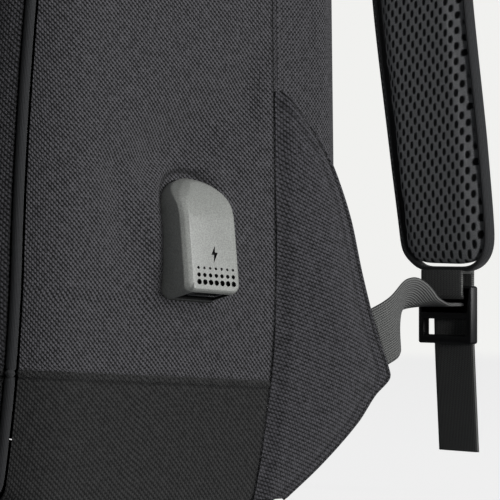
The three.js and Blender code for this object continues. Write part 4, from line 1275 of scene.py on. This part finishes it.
edge_along = wing_edge_at(WEBBING_Z + WEBBING / 2) - wing_edge_at(WEBBING_Z - WEBBING / 2)
edge_away = np.array([0, edge_along[2], -edge_along[1]])
edge_away /= np.linalg.norm(edge_away)
webbing_start = wing_edge_at(WEBBING_Z) + edge_away * WEBBING_SEAT
bar_side = LOCK_THICK / 2 + WEBBING_SLACK + WEBBING_THICK / 2
turn_z = lock_middle[2] + LOCK_BAR / 2 - WEBBING_DROP
over_bar = [(lock_middle + [0, bar_side * math.cos(a), turn_z + bar_side * math.sin(a) - lock_middle[2]], 1)
            for a in np.linspace(math.pi / 2, 0, 5)]


def webbing_between(across, ahead):
    """A point at shares of the way from the wing to the buckle, level with the top of the turn over the
    bar."""
    x, y = blend(webbing_start[:2], lock_middle[:2], np.array([across, ahead]))
    return np.array([x, y, turn_z + bar_side])


webbing_rows = [
    (webbing_start, 0), (webbing_start + edge_away * 8, 0.02), (webbing_between(0.36, 0.34), 0.4),
    (webbing_between(0.78, 0.6), 0.85), (webbing_between(0.98, 0.82), 1), *over_bar,
    (lock_middle + [0, bar_side + WEBBING_SLACK, -LOCK_HEIGHT * 0.6], 1),
    (np.array([lock_middle[0], lock_middle[1] + bar_side + 3, TAIL_Z]), 1),
]
webbing_points = np.array([row[0] for row in webbing_rows])
fine_shares = np.linspace(0, 1, 1501)
fine_path = spline(webbing_points, fine_shares)
webbing_far = run_length(fine_path[:, None], 0)[:, 0]
even_shares = np.interp(np.linspace(0, webbing_far[-1], 150), webbing_far, fine_shares)
webbing_path = spline(webbing_points, even_shares)
row_numbers = np.arange(len(webbing_rows))
twist = np.interp(even_shares * row_numbers[-1], row_numbers, [row[1] for row in webbing_rows])
for _ in range(10):
    twist[1:-1] = (twist[:-2] + 2 * twist[1:-1] + twist[2:]) / 4
webbing_wide = (edge_along / np.linalg.norm(edge_along) * np.cos(twist * np.pi / 2)[:, None]
                + np.array([1.0, 0, 0]) * np.sin(twist * np.pi / 2)[:, None])


def flat_profile(width, thick, sides=26):
    """A flat band with rounded edges, with many points across its faces."""
    across = np.linspace(-1, 1, sides)
    bow = (1 - np.abs(across) ** 10) ** 0.5
    top = np.stack([across * width / 2, bow * thick / 2], -1)
    return np.concatenate([top, top[-2:0:-1] * [1, -1]])


webbing_mesh = tube("webbing", webbing_path, flat_profile(WEBBING, WEBBING_THICK), webbing_wide)
webbing_mesh = laid_along(webbing_mesh, webbing_path, webbing_wide)
as_pair("lower_webbing", webbing_mesh, webbing, "grey_webbing", "strap_webbing")
print("webbing is", round(webbing_far[-1]), "mm long")

# %% [markdown]
# ## Small hard pieces
# Buckles, sliders, socket, tongue and the strap's tab loops are right in the CAD model already. Their flat
# faces are joined again from triangles, and each edge gets a small round of its own size, because a moulded
# or stamped edge catches the light. The tab loops take the webbing's cloth.


# %% Buckles, strap tabs, socket, tongue and sliders
def refined(name, node, width, material, slot, segments=3):
    """A hard piece from its CAD solid: its triangles are merged to flat faces and its edges are rounded."""
    source = next(o for o in scene.objects if o.get("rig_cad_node") and o.name == node)
    mesh = source.data.copy()
    mesh.materials.clear()
    work = bmesh.new()
    work.from_mesh(mesh)
    bmesh.ops.remove_doubles(work, verts=work.verts, dist=0.00001)
    bmesh.ops.dissolve_limit(work, angle_limit=math.radians(3), verts=work.verts, edges=work.edges)
    work.to_mesh(mesh)
    work.free()
    piece = as_piece(name, mesh, material, slot, node)
    bevel = piece.modifiers.new("edges", "BEVEL")
    bevel.width, bevel.segments, bevel.limit_method = width * MM, segments, "ANGLE"
    bevel.angle_limit, bevel.use_clamp_overlap = math.radians(35), True
    settled(piece, 30)
    piece.data.polygons.foreach_set("use_smooth", np.ones(len(piece.data.polygons), bool))
    return piece


for side in ("right", "left"):
    refined(f"buckle_{side}", f"ladder_lock_{side}", 0.9, black_plastic, "black_plastic")
    refined(f"slider_{side}", f"zip_slider_{side}", 0.6, slider_metal, "slider_metal")
    tab = refined(f"tab_loop_{side}", f"strap_tab_{side}", 0.4, webbing, "grey_webbing", 2)
    sign = 1 if side == "right" else -1
    tab_line = np.array([[sign * STRAP_END_X, lock_middle[1], z] for z in np.linspace(60, 100, 41)])
    laid_along(tab.data, tab_line, np.broadcast_to([1.0, 0.0, 0.0], tab_line.shape))
refined("socket_shell", "usb_socket", 0.12, steel, "socket_metal", 2)
refined("socket_tongue", "usb_tongue", 0.2, black_plastic, "black_plastic", 2)
print("hard pieces refined")

# %% [markdown]
# ## Grab handle
# The handle is the same webbing, thicker and a little narrower in the middle, where the hand holds it, and
# sewn down flat at both ends with a boxed cross of stitches. A short table gives one half of its line, and
# the other half is its mirror.

# %% Grab handle
HANDLE_Y, HANDLE_HALF, HANDLE_RISE, HANDLE_TAB, HANDLE_THICK = SEAM_Y + 11, 46, 34, 20, 3.5
handle_rise = [(0, 1), (0.7, 0.76), (0.93, 0.27), (1.04, 0.05), (1.2, 0.008)]
right_rows = [(HANDLE_HALF * a, HANDLE_RISE * b) for a, b in handle_rise] + [(HANDLE_HALF + HANDLE_TAB, 0)]
handle_rows = [(-x, up) for x, up in right_rows[:0:-1]] + right_rows
handle_points = [(x, HANDLE_Y, HEIGHT + SEW_GAP + HANDLE_THICK / 2 + up) for x, up in handle_rows]
handle_path = spline(handle_points, np.linspace(0, 1, 161))
handle_wide = np.broadcast_to([0.0, 1.0, 0.0], handle_path.shape)
handle_scale = np.ones((161, 2))
middle_part = smoothstep(HANDLE_HALF * 0.86 - np.abs(handle_path[:, 0]), 0, 9)
handle_scale[:, 0] = 1 - 0.08 * middle_part
handle_scale[:, 1] = 1 + 0.25 * middle_part
handle_mesh = tube("handle", handle_path, flat_profile(WEBBING, HANDLE_THICK, 30), handle_wide, handle_scale)
handle_mesh = laid_along(handle_mesh, handle_path, handle_wide)
as_piece("handle", handle_mesh, webbing, "grey_webbing", "grab_handle")
for side in (1, -1):
    inner, outer = side * (HANDLE_HALF + 5), side * (HANDLE_HALF + HANDLE_TAB - 3)
    z = HEIGHT + SEW_GAP + HANDLE_THICK + 0.15
    corners = np.array([(inner, -9), (outer, -9), (outer, 9), (inner, 9), (inner, -9), (outer, 9),
                        (outer, -9), (inner, 9)], float)
    tack = np.column_stack([corners[:, 0], corners[:, 1] + HANDLE_Y, np.full(len(corners), z)])
    stitched(f"handle_tack_{'right' if side > 0 else 'left'}", tack, (0, 0, 1), dark_thread, "grey_webbing",
             length=2.0, pitch=2.5, width=0.3)
print("handle made")

# %% [markdown]
# ## The charging port
# The port's housing is a moulded block with a round top, tilted so that its top dives into the cloth. Its
# edges are much softer than a plain bevel, so its section is built ring by ring from a short table: each
# ring is the outline drawn in by a share of the edge's width, and it rises by a share of the edge's height.
# The edge is wide ahead and at the top, and narrow behind. Above its middle the face curves into the bag.

# %% Port housing
PORT_DEPTH, FOOT_RADIUS, PORT_DIVE, DIVE_START = 24, 3.5, 9, 4
EDGE_PROFILE = np.array([  # share drawn in, share risen: a chamfer, then a flatter strip, with round joints
    (0, 0), (0.02, 0.1), (0.06, 0.19), (0.12, 0.28), (0.24, 0.44), (0.34, 0.58), (0.4, 0.65), (0.48, 0.72),
    (0.82, 0.93), (0.89, 0.965), (0.95, 0.99), (1, 1),
])


def into_port(points):
    """From the drawing, with x to the back, y up and z out of the bag, to its tilted place in the bag's
    side."""
    x, y, z = points[..., 0], points[..., 1], points[..., 2]
    c, s = math.cos(PORT_TILT), math.sin(PORT_TILT)
    y, z = y * c + z * s, -y * s + z * c
    c, s = math.cos(PORT_TURN), math.sin(PORT_TURN)
    x, y = x * c + y * s, -x * s + y * c
    return np.stack([half_width(PORT_Z) + PORT_PROUD + z, PORT_Y + x, PORT_Z + y], -1)


def tombstone():
    """The housing's outline from the middle of its foot round and back, with outward directions."""
    half, foot, top = PORT_WIDTH / 2, -PORT_LENGTH / 2, PORT_LENGTH / 2 - PORT_WIDTH / 2
    turn = np.linspace(-np.pi / 2, 0, 12)
    foot_arc = np.stack([half - FOOT_RADIUS + FOOT_RADIUS * np.cos(turn),
                         foot + FOOT_RADIUS + FOOT_RADIUS * np.sin(turn), np.cos(turn), np.sin(turn)], -1)
    turn = np.linspace(0, np.pi / 2, 24)
    top_arc = np.stack([half * np.cos(turn), top + half * np.sin(turn), np.cos(turn), np.sin(turn)], -1)
    floor = np.stack([np.linspace(0, half - FOOT_RADIUS, 10), np.full(10, foot), np.zeros(10),
                      -np.ones(10)], -1)
    side = np.stack([np.full(14, half), np.linspace(foot + FOOT_RADIUS, top, 14), np.ones(14),
                     np.zeros(14)], -1)
    right = np.concatenate([floor[:-1], foot_arc[:-1], side[:-1], top_arc])
    left = right[::-1] * [-1, 1, -1, 1]
    return np.concatenate([right, left[1:]])


port_edge = tombstone()
ahead_share = smoothstep(-port_edge[:, 2], 0.1, 0.9)
top_share, foot_share = np.maximum(0, port_edge[:, 3]), np.maximum(0, -port_edge[:, 3])
edge_in = 0.8 + 2.1 * ahead_share + 1.8 * top_share + 1.6 * ahead_share * top_share + 0.3 * foot_share
edge_up = 0.8 + 1.9 * ahead_share + 2.4 * top_share + 2.4 * ahead_share * top_share + 1.5 * foot_share
port_edge_rings = [np.column_stack([port_edge[:, :2], np.full(len(port_edge), up)])
                   for up in (-PORT_DEPTH, -9)]
for drawn, risen in EDGE_PROFILE:
    place = port_edge[:, :2] - port_edge[:, 2:] * (edge_in * drawn)[:, None]
    port_edge_rings.append(np.column_stack([place, edge_up * (risen - 1)]))
face = np.stack([port_edge_rings[-1] * [k, k, 1] + [0, 0, 0.25 * (1 - k * k)]
                 for k in np.linspace(1, 0, 26)[1:]])
back = np.stack([port_edge_rings[0] * [k, k, 1] for k in np.linspace(0, 1, 4)[:-1]])
housing_grid = np.concatenate([back, np.stack(port_edge_rings), face])
dive = np.maximum(0, (housing_grid[..., 1] - DIVE_START) / (PORT_LENGTH / 2 - DIVE_START)) ** 2
housing_grid[len(back) + 1:, :, 2] -= PORT_DIVE * dive[len(back) + 1:]
housing_points = into_port(housing_grid)
housing_mesh = cleaned(grid_mesh("housing", housing_points, housing_grid[..., :2]), closed=True)
housing = as_piece("port_housing", housing_mesh, grey_plastic, "grey_plastic", "usb_housing")
print("housing has", len(housing_mesh.polygons), "faces before it is cut")

# %% [markdown]
# ## Holes, pocket and opening
# Three rows of blind holes, a small lightning bolt and the socket's pocket are cut out of the housing, and
# the housing's outline, a sewing gap wider, out of the side cloth. The cuts are straight prisms in the
# The faces that a cut leaves take the prism's near-black material, as painted shade in the holes, the bolt,
# the socket's pocket and the cloth's cut edge round the port.


# %% Holes, pocket and opening
def cutter(name, meshes):
    """One throwaway object that holds the shapes to cut away."""
    work = bmesh.new()
    for mesh in meshes:
        work.from_mesh(mesh)
        bpy.data.meshes.remove(mesh)
    bmesh.ops.recalc_face_normals(work, faces=work.faces)
    whole = bpy.data.meshes.new(name)
    work.to_mesh(whole)
    work.free()
    # The cut faces take this near-black material: painted shade in the holes, the pocket and the cloth's
    # opening.
    whole.materials.append(painted_shade_dark)
    piece = bpy.data.objects.new(name, whole)
    scene.collection.objects.link(piece)
    return piece


def prism(name, shape, low, high):
    """A straight prism of a flat outline between two heights of the port's drawing."""
    shape = np.asarray(shape, float)
    ends = [np.column_stack([shape, np.full(len(shape), z)]) for z in (low, high)]
    points = into_port(np.concatenate(ends)) * MM
    n = len(shape)
    sides = [(i, (i + 1) % n, n + (i + 1) % n, n + i) for i in range(n)]
    mesh = bpy.data.meshes.new(name)
    mesh.from_pydata(points.tolist(), [], [tuple(range(n))[::-1], tuple(range(n, 2 * n)), *sides])
    return mesh


def cut_away(piece, tool):
    """Takes a throwaway object out of a piece, and removes it."""
    boolean = piece.modifiers.new("cut", "BOOLEAN")
    boolean.operation, boolean.solver, boolean.object = "DIFFERENCE", "EXACT", tool
    boolean.material_mode = "TRANSFER"
    settled(piece, 35)
    mesh = tool.data
    bpy.data.objects.remove(tool)
    bpy.data.meshes.remove(mesh)
    return piece


HOLE_PITCH, HOLES_SHIFT, HOLES_ABOVE = 2.69, 1.2, 3.7
HOLE_RADII, HOLES_IN_ROW, HOLE_DEPTH = (1.05, 0.8, 0.55), 7, 1.6
BOLT_ABOVE, BOLT_DEPTH, PAST_FACE = 14.6, 0.9, 2.0
port_foot = -PORT_LENGTH / 2
holes = []
for row, radius in enumerate(HOLE_RADII):
    for column in range(HOLES_IN_ROW):
        across = HOLES_SHIFT + (column - (HOLES_IN_ROW - 1) / 2) * HOLE_PITCH
        at = [across, port_foot + HOLES_ABOVE + row * HOLE_PITCH]
        holes.append(prism("hole", ring(20, radius) + at, -HOLE_DEPTH, PAST_FACE))
BOLT = np.array([(0.5, 3.4), (-1.5, -0.3), (-0.2, -0.3), (-0.6, -3.4), (1.6, 0.7), (0.25, 0.7)])
holes.append(prism("bolt", BOLT + [1.0, port_foot + BOLT_ABOVE], -BOLT_DEPTH, PAST_FACE))
cut_away(housing, cutter("holes", holes))

SOCKET_WIDTH, SOCKET_HEIGHT, SOCKET_LENGTH, SOCKET_BEHIND_FACE = 13, 5.7, 12, 3
pocket_z = -SOCKET_BEHIND_FACE - SOCKET_HEIGHT / 2
pocket_half, pocket_end = SOCKET_WIDTH / 2 + 2.2, port_foot + SOCKET_LENGTH
pocket = [(-pocket_half, port_foot - 2), (pocket_half, port_foot - 2), (pocket_half, pocket_end),
          (-pocket_half, pocket_end)]
cut_away(housing, cutter("pocket", [prism("pocket", pocket, pocket_z - 7.5, pocket_z + 3.8)]))
print("housing has", len(housing.data.polygons), "faces")

opening = port_edge[:-1, :2] + port_edge[:-1, 2:] * SEW_GAP
cut_away(side_cloth, cutter("opening", [prism("opening", opening, -40, 25)]))
print("side cloth has", len(side_cloth.data.polygons), "faces")
